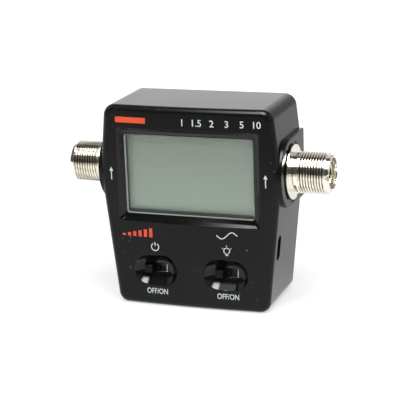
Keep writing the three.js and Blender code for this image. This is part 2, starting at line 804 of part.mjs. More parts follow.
function switchBody(x) {
  const centre = x + slotShift;
  const half = switchCavityLength / 2 + switchWall;
  const cavityHalfHeight = switchHeight / 2 - switchWall;
  const can = rectangle(half, switchHeight / 2, centre, bowlCentreHeight, switchWall);
  const cavity = rectangle(switchCavityLength / 2, cavityHalfHeight, centre, bowlCentreHeight);
  const slot = rectangle(slotLength / 2, knobHeight / 2 + slotSideGap, centre, bowlCentreHeight);
  return cut(slabY(can, switchStart, switchEnd), [
    slabY(cavity, switchStart + switchWall, switchEnd - switchWall),
    slabY(slot, switchStart - cutOverrun, switchStart + switchWall + cutOverrun),
  ]);
}

// The lever rests at the left end of its slot, which is OFF
function switchKnob(x) {
  const centre = x + slotShift - knobTravel / 2;
  const footHalfHeight = switchHeight / 2 - switchWall - seatGap;
  const footStart = switchStart + switchWall + seatGap;
  const rim = (inset, at) => ({
    points: rectangle(knobWidth / 2 - inset, knobHeight / 2 - inset, centre, bowlCentreHeight).getPoints(),
    at: () => at,
  });
  const rooted = footStart + leverFootThickness / 2;
  return join([
    loftY([rim(knobEdge, leverFront), rim(0, leverFront + knobEdge), rim(0, rooted)]),
    block(
      centre - leverFootLength / 2, centre + leverFootLength / 2, footStart, footStart + leverFootThickness,
      bowlCentreHeight - footHalfHeight, bowlCentreHeight + footHalfHeight,
    ),
  ]);
}

// Charging socket behind the slot in the side: an oval shell with a closed back, and its contact tongue
const portMouth = sideAt(portCentreHeight) - wall - seatGap;
const portBackWall = 1.0;
const tongueLength = 6.4;
const tongueThickness = 0.7;
const tongueReach = 4.6;

function portShell() {
  const inner = uprightOval(portLength - 2 * portShellWall, portWidth - 2 * portShellWall, portCentreHeight);
  const outer = uprightOval(portLength, portWidth, portCentreHeight);
  const back = portMouth - portShellLength;
  return cut(slabX(outer, back, portMouth, ovalCurve), [
    slabX(inner, back + portBackWall, portMouth + cutOverrun, ovalCurve),
  ]);
}

function portTongue() {
  const start = portMouth - portShellLength + portBackWall + seatGap;
  return block(
    start, start + tongueReach, portCentreDepth - tongueThickness / 2, portCentreDepth + tongueThickness / 2,
    portCentreHeight - tongueLength / 2, portCentreHeight + tongueLength / 2,
  );
}

// Rechargeable cell on its pad at the rear cover, below the coupler board, with its leads and plug
const couplerBoardDrop = 20.8;
const cellHalf = 21.0;
const cellFootGap = 0.6;
const cellTopGap = 2.0;
const cellFoot = footPostInset.z + coverBossRadius + cellFootGap;
const cellTop = socketHeight - couplerBoardDrop - cellTopGap;
const cellThickness = 6.0;
const padThickness = 0.8;
const padInset = 4.0;
const cellEdge = 1.6;
const padEnd = coverInnerDepth - seatGap;
const cellEnd = padEnd - padThickness - seatGap;
const cellStart = cellEnd - cellThickness;
const cellMiddle = (cellFoot + cellTop) / 2;

function batteryCell() {
  const outline = (inset) => rectangle(
    cellHalf - inset, (cellTop - cellFoot) / 2 - inset, 0, cellMiddle, cellEdge,
  ).getPoints(cornerCurve);
  return loftY([
    { points: outline(cellEdge / 2), at: () => cellStart },
    { points: outline(0), at: () => cellStart + cellEdge / 2 },
    { points: outline(0), at: () => cellEnd - cellEdge / 2 },
    { points: outline(cellEdge / 2), at: () => cellEnd },
  ]);
}

function batteryPad() {
  const half = cellHalf - padInset;
  return block(-half, half, padEnd - padThickness, padEnd, cellFoot + padInset, cellTop - padInset);
}

const plugPlaceShare = { x: -0.573, z: 0.165 };
const plugPlace = onBoard(plugPlaceShare);
const plugHalf = { x: 3.0, z: 2.2 };
const plugHeight = 4.2;
const leadRadius = 0.6;
const leadPitch = 2.0;
const leadSteps = 12;
const leadCurve = 3;
const leadEntry = 5.0;

function batteryPlug() {
  return boardBlock(plugPlace, plugHalf.x, plugHalf.z, plugHeight);
}

// Two leads bow from the front of the plug to the front of the cell
function batteryLeads() {
  const plugEnd = front + boardEnd + seatGap + plugHeight + seatGap;
  const cellFace = front + cellStart - seatGap;
  const middle = (plugEnd + cellFace) / 2;
  return [-1, 1].map((side) => {
    const x = plugPlace.x + side * leadPitch / 2;
    const route = new THREE.CatmullRomCurve3([
      new THREE.Vector3(x, plugEnd, plugPlace.z),
      new THREE.Vector3(x, middle - leadPitch / 2, plugPlace.z),
      new THREE.Vector3(x, middle, plugPlace.z - leadEntry / 2),
      new THREE.Vector3(x, middle + leadPitch / 2, plugPlace.z - leadEntry),
      new THREE.Vector3(x, cellFace, plugPlace.z - leadEntry),
    ]);
    return solid(new THREE.ExtrudeGeometry(circle(leadRadius, 0, 0), {
      steps: leadSteps, extrudePath: route, curveSegments: leadCurve, bevelEnabled: false,
    }));
  });
}

// Threaded coaxial socket, from its flange outwards and inwards, as radii and places along X
const flangeThickness = 1.1;
const shoulderLength = 2.4;
const shoulderStep = 0.44;
const shoulderRadius = socketThreadRadius - shoulderStep;
const threadLength = 10.6;
const noseLength = 1.8;
const noseStep = 0.84;
const noseRadius = socketThreadRadius - noseStep;
const noseChamfer = 0.4;
const mouthWall = 1.1;
const mouthRadius = noseRadius - mouthWall;
const mouthDepth = 5.6;
const boreStep = 1.1;
const boreRadius = mouthRadius - boreStep;
const rimNotchWidth = 1.8;
const rimNotchDepth = 1.5;
const nutThickness = 2.3;
const nutAcross = 19.0;
const washerThickness = 0.7;
const washerToothDepth = 0.9;
const washerTeeth = 14;
const washerToothShare = 0.3;
const trayThickness = 0.8;
const trayOuterHalf = innerPadHalf - seatGap;
const trayInnerHalf = trayOuterHalf - trayThickness;
const flangeBack = bossFaceHalf - bossRecessDepth + seatGap;
const flangeFront = flangeBack + flangeThickness;
const threadStart = flangeFront + shoulderLength;
const threadEnd = threadStart + threadLength;
const mouth = threadEnd + noseLength;
const washerOuter = trayInnerHalf - seatGap;
const washerInner = washerOuter - washerThickness;
const nutOuter = washerInner - seatGap;
const nutInner = nutOuter - nutThickness;
const socketRoot = nutInner - seatGap;

// Measuring line: a folded tray carries both sockets and screens the conductor between them
const trayHalfHeight = 10.0;
const trayEarReach = 8.6;
const trayEarFront = socketDepth - trayEarReach;
const trayFlangeGap = 0.8;
const trayFlangeFront = boardEnd + trayFlangeGap;
const trayFlangeInset = 1.0;
const trayFlangeHalf = socketRoot - trayFlangeInset;
const trayWasherGap = 0.5;
const trayInnerEnd = socketDepth + washerRadius + trayWasherGap;
const trayBaseEnd = trayInnerEnd + trayThickness;

const couplerBoardHalf = 20.0;
const couplerBoardFoot = socketHeight - couplerBoardDrop;
const couplerBoardThickness = 0.9;
const couplerBoardEnd = trayInnerEnd - seatGap;
const couplerBoardStart = couplerBoardEnd - couplerBoardThickness;
const couplerBoardTop = socketHeight + trayHalfHeight - trayThickness - seatGap;
const couplerScrewHalf = 16.0;
const couplerScrewRise = 6.4;
const couplerScrewHeight = socketHeight + couplerScrewRise;
const couplerScrewPlaces = [-couplerScrewHalf, couplerScrewHalf].map((x) => ({ x, z: couplerScrewHeight }));
const couplerHoleRadius = 1.1;
const couplerScrew = { headRadius: 1.7, headHeight: 1.0, shankRadius: 0.8, shankLength: 3.4 };

function couplerTray() {
  const [low, high] = [socketHeight - trayHalfHeight, socketHeight + trayHalfHeight];
  const [under, over] = [low - cutOverrun, high + cutOverrun];
  const inside = { low: low + trayThickness, high: high - trayThickness };
  const boardSlot = { half: couplerBoardHalf + seatGap, start: couplerBoardStart - seatGap };
  const body = cut(block(-trayOuterHalf, trayOuterHalf, trayEarFront, trayBaseEnd, low, high), [
    block(-trayInnerHalf, trayInnerHalf, trayEarFront - cutOverrun, trayFlangeFront, under, over),
    block(-trayInnerHalf, trayInnerHalf, trayEarFront, trayInnerEnd, inside.low, inside.high),
    block(-trayInnerHalf, -trayFlangeHalf, trayEarFront, trayInnerEnd, under, over),
    block(trayFlangeHalf, trayInnerHalf, trayEarFront, trayInnerEnd, under, over),
    block(-boardSlot.half, boardSlot.half, boardSlot.start, trayInnerEnd, under, inside.low + cutOverrun),
    ...couplerScrewPlaces.map(({ x, z }) => rodY(
      x, z, couplerHoleRadius, trayInnerEnd - cutOverrun, trayBaseEnd + cutOverrun, smallSides,
    )),
  ]);
  const [start, end] = [trayInnerHalf - cutOverrun, trayOuterHalf + cutOverrun];
  const hole = slabX(circle(socketHoleRadius), start, end, holeCurve);
  return cut(body, [hole, mirrored(hole)]);
}

function couplerBoard() {
  const middle = (couplerBoardFoot + couplerBoardTop) / 2;
  const shape = rectangle(couplerBoardHalf, couplerBoardTop - middle, 0, middle);
  return cut(slabY(shape, couplerBoardStart, couplerBoardEnd), couplerScrewPlaces.map(({ x, z }) => rodY(
    x, z, couplerHoleRadius, couplerBoardStart - cutOverrun, couplerBoardEnd + cutOverrun, smallSides,
  )));
}

// The coupler board's screws come through the base of the tray from the rear
function couplerScrews() {
  return couplerScrewPlaces.map((place) => screw(place, trayBaseEnd + seatGap, couplerScrew));
}

// Pin header between the two boards, below the tray
const linkHalf = { x: 5.2, z: 1.3 };
const linkDrop = 16.2;
const linkHeight = socketHeight - linkDrop;
const linkBlock = 2.6;
const linkPins = 4;
const linkPitch = 2.54;
const linkPinHalf = 0.32;

function boardLink() {
  const [start, end] = [boardEnd + seatGap, couplerBoardStart - seatGap];
  const pins = [];
  for (let k = 0; k < linkPins; k += 1) {
    const x = (k - (linkPins - 1) / 2) * linkPitch;
    pins.push(block(
      x - linkPinHalf, x + linkPinHalf, start + linkBlock / 2, end - linkBlock / 2,
      linkHeight - linkPinHalf, linkHeight + linkPinHalf,
    ));
  }
  const base = (from) => block(
    -linkHalf.x, linkHalf.x, from, from + linkBlock, linkHeight - linkHalf.z, linkHeight + linkHalf.z,
  );
  return join([base(start), base(end - linkBlock), ...pins]);
}

// Socket body, clamped by its flange outside and its nut inside
function socketShell() {
  const bore = mouth - mouthDepth;
  const body = turned([
    [boreRadius, socketRoot], [socketThreadRadius, socketRoot], [socketThreadRadius, flangeBack],
    [flangeRadius, flangeBack], [flangeRadius, flangeFront], [shoulderRadius, flangeFront],
    [shoulderRadius, threadStart], [socketThreadRadius, threadStart], [socketThreadRadius, threadEnd],
    [noseRadius, threadEnd], [noseRadius, mouth - noseChamfer], [noseRadius - noseChamfer, mouth],
    [mouthRadius, mouth], [mouthRadius, bore], [boreRadius, bore],
  ]);
  const slot = (halfDepth, halfZ) => block(
    mouth - rimNotchDepth, mouth + cutOverrun, socketDepth - halfDepth, socketDepth + halfDepth,
    socketHeight - halfZ, socketHeight + halfZ,
  );
  const reach = noseRadius + cutOverrun;
  return cut(body, [slot(reach, rimNotchWidth / 2), slot(rimNotchWidth / 2, reach)]);
}

const insulatorRadius = boreRadius - seatGap;
const insulatorHeadRadius = mouthRadius - seatGap;
const insulatorHead = 1.4;
const insulatorPostStep = 1.7;
const insulatorPostRadius = insulatorHeadRadius - insulatorPostStep;
const insulatorRecess = 1.5;
const contactRadius = 2.6;
const contactWall = 0.6;
const contactBore = contactRadius - contactWall;
const contactRecess = 1.2;
const contactBoreDepth = 14.0;
const solderRadius = 1.6;
const solderReach = 2.2;
const insulatorReach = 0.8;

function socketInsulator() {
  const shelf = mouth - mouthDepth + seatGap;
  const hole = contactRadius + seatGap;
  const root = socketRoot - insulatorReach;
  return turned([
    [hole, root], [insulatorRadius, root], [insulatorRadius, shelf], [insulatorHeadRadius, shelf],
    [insulatorHeadRadius, shelf + insulatorHead], [insulatorPostRadius, shelf + insulatorHead],
    [insulatorPostRadius, mouth - insulatorRecess], [hole, mouth - insulatorRecess],
  ], mediumSides);
}

function socketContact() {
  const end = mouth - contactRecess;
  const boreEnd = end - contactBoreDepth;
  const neck = socketRoot - insulatorReach;
  return turned([
    [0, neck - solderReach], [solderRadius, neck - solderReach], [solderRadius, neck], [contactRadius, neck],
    [contactRadius, end], [contactBore, end], [contactBore, boreEnd], [0, boreEnd],
  ], mediumSides);
}

function lockWasher() {
  const shape = new THREE.Shape();
  const tooth = Math.PI / washerTeeth;
  for (let k = 0; k < 2 * washerTeeth; k += 1) {
    const radius = k % 2 ? washerRadius : washerRadius - washerToothDepth;
    for (const angle of [tooth * (k - washerToothShare), tooth * (k + washerToothShare)]) {
      const [y, z] = [radius * Math.cos(angle), socketHeight + radius * Math.sin(angle)];
      if (k === 0 && angle < 0) shape.moveTo(y, z);
      else shape.lineTo(y, z);
    }
  }
  shape.holes.push(circle(socketHoleRadius));
  return slabX(shape, washerInner, washerOuter, holeCurve);
}

function socketNut() {
  const radius = nutAcross / Math.sqrt(3);
  const shape = new THREE.Shape();
  for (let k = 0; k < 6; k += 1) {
    const angle = Math.PI / 6 + Math.PI / 3 * k;
    const [y, z] = [radius * Math.cos(angle), socketHeight + radius * Math.sin(angle)];
    if (k === 0) shape.moveTo(y, z);
    else shape.lineTo(y, z);
  }
  shape.holes.push(circle(socketHoleRadius));
  return slabX(shape, nutInner, nutOuter, holeCurve);
}

// Conductor from contact to contact, through two wound ferrite rings
const lineRadius = 1.0;
const lineEndRadius = 1.5;
const lineEndLength = 3.0;
const lineHalf = socketRoot - insulatorReach - solderReach - seatGap;
const coreInner = 2.2;
const coreOuter = 3.5;
const coreHalf = 3.0;
const coreSpacing = 18.0;
const corePlaces = [-coreSpacing / 2, coreSpacing / 2];
const wireThickness = 0.4;
const wireTurns = 7;

function throughLine() {
  return turned([
    [0, -lineHalf], [lineEndRadius, -lineHalf], [lineEndRadius, -lineHalf + lineEndLength],
    [lineRadius, -lineHalf + lineEndLength], [lineRadius, lineHalf - lineEndLength],
    [lineEndRadius, lineHalf - lineEndLength], [lineEndRadius, lineHalf], [0, lineHalf],
  ], smallSides);
}

function ferriteCores() {
  return corePlaces.map((x) => {
    const [left, right] = [x - coreHalf, x + coreHalf];
    const profile = [[coreInner, left], [coreOuter, left], [coreOuter, right], [coreInner, right]];
    return turned(profile, mediumSides);
  });
}

// The turns of wire round the section of a ring, carried on from one to the next along its outside
function coreWindings() {
  const section = (grow) => [
    [-coreHalf - grow, coreInner - grow], [coreHalf + grow, coreInner - grow],
    [coreHalf + grow, coreOuter + grow], [-coreHalf - grow, coreOuter + grow],
  ].map(([a, r]) => new THREE.Vector2(a, r));
  return corePlaces.map((x) => {
    const turns = [];
    for (let k = 0; k < wireTurns; k += 1) {
      const shape = new THREE.Shape(section(seatGap + wireThickness));
      shape.holes.push(new THREE.Path(section(seatGap)));
      const geometry = new THREE.ExtrudeGeometry(shape, { depth: wireThickness, bevelEnabled: false });
      geometry.translate(0, 0, -wireThickness / 2);
      geometry.rotateX(Math.PI * 2 * (k + 0.5) / wireTurns);
      geometry.translate(x, 0, socketHeight);
      turns.push(solid(geometry));
    }
    const inner = coreOuter + seatGap;
    const band = turned([
      [inner, x - wireThickness / 2], [inner + wireThickness, x - wireThickness / 2],
      [inner + wireThickness, x + wireThickness / 2], [inner, x + wireThickness / 2],
    ], 2 * wireTurns);
    return join([band, ...turns]);
  });
}

const meter = new THREE.Group();
const add = (name, body, finish) => meter.add(meshOf(name, body, finish));
const addEach = (name, bodies, finish) => bodies.forEach((body, i) => add(`${name}_${i + 1}`, body, finish));

add('front_case', frontCase(), 'blackAbs');
add('rear_cover', rearCover(), 'blackAbs');
addEach('case_screw', caseScrews(), 'steel');
add('window_lens', windowLens(), 'acrylic');
add('lcd_glass', displayGlass(), 'displayGlass');
add('lcd_frame', displayFrame(), 'chipBlack');
add('light_guide', lightGuide(), 'milky');
addEach('backlight_led', backlightLamps(), 'lampYellow');
add('contact_strip', contactStrip(), 'elastomer');
add('main_board', mainBoard(), 'boardGreen');
addEach('board_screw', boardScrews(), 'steel');
add('controller_chip', controllerChip(), 'chipBlack');
addEach('board_chip', smallChips(), 'chipBlack');
add('charge_socket_shell', portShell(), 'tinPlate');
add('charge_socket_tongue', portTongue(), 'chipBlack');
add('battery_cell', batteryCell(), 'cellFoil');
add('battery_pad', batteryPad(), 'foam');
add('battery_plug', batteryPlug(), 'fluoroplastic');
addEach('battery_lead', batteryLeads(), 'redLead');
add('coupler_tray', couplerTray(), 'tinPlate');
add('coupler_board', couplerBoard(), 'boardGreen');
addEach('coupler_screw', couplerScrews(), 'steel');
add('board_link', boardLink(), 'chipBlack');
add('through_line', throughLine(), 'brass');
addEach('ferrite_core', ferriteCores(), 'ferrite');
addEach('core_winding', coreWindings(), 'copperWire');

const switches = { power: -bowlSpacing / 2, light: bowlSpacing / 2 };
for (const [name, x] of Object.entries(switches)) {
  add(`${name}_switch_body`, switchBody(x), 'tinPlate');
  add(`${name}_switch_knob`, switchKnob(x), 'glossBlack');
}

const sockets = { ant: (body) => body, tx: mirrored };
for (const [name, placed] of Object.entries(sockets)) {
  add(`${name}_socket_shell`, placed(socketShell()), 'nickel');
  add(`${name}_socket_insulator`, placed(socketInsulator()), 'fluoroplastic');
  add(`${name}_socket_contact`, placed(socketContact()), 'brass');
  add(`${name}_lock_washer`, placed(lockWasher()), 'steel');
  add(`${name}_socket_nut`, placed(socketNut()), 'nickel');
}

export default meter;
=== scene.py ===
import math

import bmesh
import bpy
import numpy as np
from mathutils import Matrix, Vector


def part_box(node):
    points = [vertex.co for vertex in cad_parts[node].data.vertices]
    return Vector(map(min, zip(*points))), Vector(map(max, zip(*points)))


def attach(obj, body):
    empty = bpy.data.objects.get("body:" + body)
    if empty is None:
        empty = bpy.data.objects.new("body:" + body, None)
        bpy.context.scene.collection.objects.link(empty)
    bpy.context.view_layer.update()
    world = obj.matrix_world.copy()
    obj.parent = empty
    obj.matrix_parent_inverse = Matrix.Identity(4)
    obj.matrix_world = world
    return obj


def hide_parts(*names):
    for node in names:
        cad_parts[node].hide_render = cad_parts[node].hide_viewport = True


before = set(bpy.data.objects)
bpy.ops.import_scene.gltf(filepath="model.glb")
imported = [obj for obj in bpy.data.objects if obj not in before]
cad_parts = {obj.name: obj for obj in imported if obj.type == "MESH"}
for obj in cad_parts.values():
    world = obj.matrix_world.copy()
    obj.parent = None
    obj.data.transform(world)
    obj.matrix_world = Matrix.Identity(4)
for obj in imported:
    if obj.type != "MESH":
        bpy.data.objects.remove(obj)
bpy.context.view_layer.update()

# Camera: it stands in front of the meter, a little to its right and above, and leans a little. Angles,
# distance and focal length were found from the edges of the housing and of the threads.
MM = 0.001
VIEW_AZIMUTH = math.radians(20.072)
VIEW_ELEVATION = math.radians(15.899)
VIEW_LEAN = math.radians(-2.144)
VIEW_DISTANCE = 574.31
VIEW_AIM = np.array([-1.194, 0.362, 38.676])
FOCAL_PIXELS = 1482.12
IMAGE_PIXELS = 400
SENSOR_WIDTH = 36.0


def camera_axes(azimuth, elevation, lean):
    """Right, up and backwards of a camera at this azimuth and elevation: a turn about the upright axis, a
    tilt, and then the lean about the line of sight."""
    level_share = math.cos(elevation)
    back = np.array([
        math.sin(azimuth) * level_share, -math.cos(azimuth) * level_share, math.sin(elevation),
    ])
    level = np.array([math.cos(azimuth), math.sin(azimuth), 0.0])
    right = math.cos(lean) * level + math.sin(lean) * np.cross(back, level)
    return right, np.cross(back, right), back


camera = bpy.data.objects.new("camera", bpy.data.cameras.new("camera"))
camera.data.sensor_width = SENSOR_WIDTH
camera.data.lens = FOCAL_PIXELS / IMAGE_PIXELS * SENSOR_WIDTH
view_right, view_up, view_back = camera_axes(VIEW_AZIMUTH, VIEW_ELEVATION, VIEW_LEAN)
camera_place = np.eye(4)
camera_place[:3, :3] = np.column_stack([view_right, view_up, view_back])
camera_place[:3, 3] = (VIEW_AIM + view_back * VIEW_DISTANCE) * MM
camera.matrix_world = Matrix(camera_place.tolist())
bpy.context.scene.collection.objects.link(camera)
bpy.context.scene.camera = camera
bpy.context.scene.view_settings.view_transform = "Standard"


# Stage: a wide white floor, one large soft lamp above the front and a white room. Polished faces see it as
# a studio: light behind and beside the meter, dark in front of it and overhead, where the camera stands.
FLOOR_HALF = 3000.0
FLOOR_WHITE = (0.80, 0.80, 0.79, 1.0)
WHITE = (1.0, 1.0, 1.0, 1.0)
KEY_LAMP = {"size": (1.04, 0.8), "place": (0.18, -0.42, 1.00), "watts": 17.0}

# The floor's own light as the camera sees it, and then as polished faces see it. A pair gives the distances,
# in metres, between which it changes: from the meter, in front of it, or behind it.
FLOOR_OWN_LIGHT = 0.50
FLOOR_SEEN = 1.10
FLOOR_SEEN_FAR = 0.45
FLOOR_SEEN_FADE = (0.12, 0.50)
FLOOR_NEAR = 1.45
FLOOR_FAR = 1.40
FLOOR_FADE = (0.10, 0.42)
FLOOR_DARK = 0.65
FLOOR_DARK_START = (0.15, 0.30)
FLOOR_BEHIND = 0.70
FLOOR_BEHIND_START = (-0.02, 0.05)

# The room's light as polished faces see it. A rise or fall is a pair of angles, counted from the horizon in
# front of the meter over its top and down behind it. A side is a pair of shares from left (-1) to right (1).
ROOM_LIGHT = 0.60
ROOM_DARK = 0.08
ROOM_BACK = 0.53
ROOM_BACK_RISE = (math.radians(114), math.radians(124))
ROOM_LOW_BACK = 1.00
ROOM_LOW_BACK_RISE = (math.radians(140), math.radians(165))
ROOM_LOW_BACK_SIDE = (-0.10, 0.25)
ROOM_FLANK = 0.80
ROOM_FLANK_START = (0.50, 0.65)
ROOM_FLANK_RISE = (math.radians(35), math.radians(50))
SOFTBOX = 30.0
SOFTBOX_RISE = (math.radians(40), math.radians(60))
SOFTBOX_FALL = (math.radians(78), math.radians(96))
SOFTBOX_LEFT = (-0.35, -0.12)
SOFTBOX_RIGHT = (0.20, 0.50)


class Shader:
    """The node tree of a material or of the world, emptied, with one method that adds any node."""

    def __init__(self, owner):
        owner.use_nodes = True
        self.tree = owner.node_tree
        self.tree.nodes.clear()

    def make(self, kind, settings=None, values=None, output=0):
        """Adds a node, sets its settings, then its sockets by value or by link, and returns one output."""
        added = self.tree.nodes.new(kind)
        for name, value in (settings or {}).items():
            setattr(added, name, value)
        for name, value in (values or {}).items():
            socket = added.inputs[name]
            if isinstance(value, Field):
                self.tree.links.new(value.socket, socket)
            else:
                socket.default_value = value
        return Field(self, added.outputs[output]) if added.outputs else None

    def finish(self, surface, kind="ShaderNodeOutputMaterial"):
        """Links the surface to the output node."""
        self.make(kind, values={"Surface": surface})


class Field:
    """One socket of a shader. Arithmetic on it adds Math nodes to the same shader."""

    def __init__(self, shader, socket):
        self.shader = shader
        self.socket = socket

    def math(self, operation, *others):
        """Adds a Math node that works on this socket and on the others."""
        values = dict(enumerate([self, *others]))
        return self.shader.make("ShaderNodeMath", {"operation": operation}, values)

    def __add__(self, other):
        return self.math("ADD", other)

    def __sub__(self, other):
        return self.math("SUBTRACT", other)

    def __rsub__(self, other):
        return self.math("MULTIPLY", -1.0) + other

    def __mul__(self, other):
        return self.math("MULTIPLY", other)

    def steps(self, low, high):
        """0 below low, 1 above high, and smooth between them."""
        values = {"Value": self, "From Min": low, "From Max": high}
        return self.shader.make("ShaderNodeMapRange", {"interpolation_type": "SMOOTHSTEP"}, values)

    __radd__ = __add__
    __rmul__ = __mul__


def seen_plainly(shader):
    """1 for rays from the camera, and 1 for rays from polished faces or through glass, otherwise 0."""
    camera_ray, glossy, through = [shader.make("ShaderNodeLightPath", output=name) for name in (
        "Is Camera Ray", "Is Glossy Ray", "Is Transmission Ray",
    )]
    return camera_ray, (1.0 - camera_ray) * glossy.math("MAXIMUM", through)


def xyz_of(shader, vector):
    """The three parts of a vector, each as a field."""
    return [shader.make("ShaderNodeSeparateXYZ", values={0: vector}, output=k) for k in range(3)]


def new_material(name):
    """New material, and the shader that writes its nodes."""
    material = bpy.data.materials.new(name)
    return material, Shader(material)


def link_mesh(name, points, faces, *materials):
    """Object at the origin from points in millimetres and faces, with its materials."""
    mesh = bpy.data.meshes.new(name)
    mesh.from_pydata((np.asarray(points) * MM).tolist(), [], faces)
    for material in materials:
        mesh.materials.append(material)
    piece = bpy.data.objects.new(name, mesh)
    bpy.context.scene.collection.objects.link(piece)
    return piece


def floor_material():
    """White floor with a share of its own light where it is seen, so that its shadows stay. In polished
    faces its light changes with the distance from the meter, and is less behind it and far in front."""
    material, shader = new_material("white_floor")
    camera_ray, polished = seen_plainly(shader)
    place = shader.make("ShaderNodeTexCoord", output="Object")
    y = xyz_of(shader, place)[1]
    distance = shader.make("ShaderNodeVectorMath", {"operation": "LENGTH"}, {0: place}, output="Value")
    fading = FLOOR_NEAR + distance.steps(*FLOOR_FADE) * (FLOOR_FAR - FLOOR_NEAR)
    darkened = (y * -1.0).steps(*FLOOR_DARK_START)
    behind = 1.0 - y.steps(*FLOOR_BEHIND_START) * (1.0 - FLOOR_BEHIND)
    mirrored = (fading * (1.0 - darkened) + darkened * FLOOR_DARK) * behind
    painted = shader.make("ShaderNodeBsdfDiffuse", values={"Color": FLOOR_WHITE})
    seen = FLOOR_SEEN + distance.steps(*FLOOR_SEEN_FADE) * FLOOR_SEEN_FAR
    strength = camera_ray * seen + polished * mirrored
    lit = shader.make("ShaderNodeEmission", values={"Color": WHITE, "Strength": strength})
    share = camera_ray * FLOOR_OWN_LIGHT + polished
    shader.finish(shader.make("ShaderNodeMixShader", values={0: share, 1: painted, 2: lit}))
    return material


def room_light():
    """World: plain white where it is seen. In polished faces it is dark above the front but for a soft box,
    light at both sides and behind, and lighter at the left behind, close to the floor."""
    world = bpy.data.worlds.new("white_room")
    bpy.context.scene.world = world
    shader = Shader(world)
    x, y, z = xyz_of(shader, shader.make("ShaderNodeTexCoord", output="Generated"))
    turn = z.math("ARCTAN2", y * -1.0)
    low_back = turn.steps(*ROOM_LOW_BACK_RISE) * (1.0 - x.steps(*ROOM_LOW_BACK_SIDE)) * ROOM_LOW_BACK
    flank = x.math("ABSOLUTE").steps(*ROOM_FLANK_START) * turn.steps(*ROOM_FLANK_RISE) * ROOM_FLANK
    behind = turn.steps(*ROOM_BACK_RISE) * ROOM_BACK + low_back
    camera_ray, polished = seen_plainly(shader)
    even = (1.0 - camera_ray - polished) * ROOM_LIGHT
    box = turn.steps(*SOFTBOX_RISE) * (1.0 - turn.steps(*SOFTBOX_FALL))
    box = box * x.steps(*SOFTBOX_LEFT) * (1.0 - x.steps(*SOFTBOX_RIGHT)) * SOFTBOX
    strength = camera_ray + polished * ((ROOM_DARK + behind).math("MAXIMUM", flank) + box) + even
    lit = shader.make("ShaderNodeBackground", values={"Color": WHITE, "Strength": strength})
    shader.finish(lit, "ShaderNodeOutputWorld")


def soft_lamp(name, lamp):
    """Rectangular lamp that faces the middle of the meter. Polished faces see the soft box in its place."""
    light = bpy.data.lights.new(name, "AREA")
    light.shape = "RECTANGLE"
    light.size, light.size_y = lamp["size"]
    light.energy = lamp["watts"]
    placed = bpy.data.objects.new(name, light)
    towards = np.array(lamp["place"]) - VIEW_AIM * MM
    towards /= np.linalg.norm(towards)
    side = np.cross([0.0, 0.0, 1.0], towards)
    side /= np.linalg.norm(side)
    place = np.eye(4)
    place[:3, :3] = np.column_stack([side, np.cross(towards, side), towards])
    place[:3, 3] = lamp["place"]
    placed.matrix_world = Matrix(place.tolist())
    placed.visible_glossy = False
    bpy.context.scene.collection.objects.link(placed)


floor_corners = np.array([[-1, -1, 0], [1, -1, 0], [1, 1, 0], [-1, 1, 0]]) * FLOOR_HALF
link_mesh("floor", floor_corners, [(0, 1, 2, 3)], floor_material())
room_light()
soft_lamp("key_lamp", KEY_LAMP)


# Front case: one moulding in black ABS with a fine spark-eroded surface. Its face is slightly crowned and
# runs over a round edge into six sides; the window slopes and the finger bowls are polished in the mould.
def box_mm(node):
    """Lowest and highest corner of a CAD node, in millimetres."""
    low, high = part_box(node)
    return np.array(low) / MM, np.array(high) / MM


def middle_mm(node):
    """Middle of a CAD node, in millimetres."""
    return sum(box_mm(node)) / 2


case_low, case_high = box_mm("front_case")
socket_low, socket_high = box_mm("ant_socket_shell")
lens_low, lens_high = box_mm("window_lens")
FRONT, REAR, HEIGHT = case_low[1], case_high[1], case_high[2]
DEPTH = REAR - FRONT
SOCKET_Z = (socket_low[2] + socket_high[2]) / 2
BOSS_FACE = case_high[0]
BOSS_STANDOUT = 0.4
WIDEST_RISE = 0.4
TOP_TAPER = 2.8
FOOT_TAPER = 5.6
WIDEST_HALF = BOSS_FACE - BOSS_STANDOUT
WIDEST_Z = SOCKET_Z + WIDEST_RISE
TOP_END = {"half": WIDEST_HALF - TOP_TAPER, "z": HEIGHT, "radius": 4.6, "up": 1.0}
FOOT_END = {"half": WIDEST_HALF - FOOT_TAPER, "z": 0.0, "radius": 4.2, "up": -1.0}
LEAST_RADIUS = 0.4
NEAR_WIDEST = 0.997
FRONT_EDGE = 2.5
REAR_EDGE = 0.5
FACE_CROWN = 1.5
PAINT_ROOM = 0.02
WALL = 2.0
FRONT_WALL = 2.2
SEAT_GAP = 0.3
OVERRUN = 1.0
CORNER_STEPS = 20
EDGE_STEPS = 12
ROUND_STEPS = 72
FINE_CORNER = 0.3
SOFT_EDGE = 0.16
EDGE_SEGMENTS = 3
SHARP_ANGLE = math.radians(35)


def lean_of(end):
    """Slope of a slanted side, dx / dz, and its length per unit of height."""
    slope = (end["half"] - WIDEST_HALF) / (end["z"] - WIDEST_Z)
    return slope, math.hypot(1.0, slope)


def widest_point(inset):
    """Where the two slanted sides meet once both have moved inwards by the inset."""
    (upper, upper_length), (lower, lower_length) = lean_of(TOP_END), lean_of(FOOT_END)
    rise = inset * (upper_length - lower_length) / (upper - lower)
    return WIDEST_HALF + upper * rise - inset * upper_length, WIDEST_Z + rise


def corner_of(end, inset):
    """Middle and radius of a corner's arc, which touches the level edge and the slanted side."""
    slope, length = lean_of(end)
    radius = max(end["radius"] - inset, LEAST_RADIUS)
    z = end["z"] - end["up"] * (inset + radius)
    x = WIDEST_HALF + slope * (z - WIDEST_Z) - (inset + radius) * length
    return x, z, radius, length


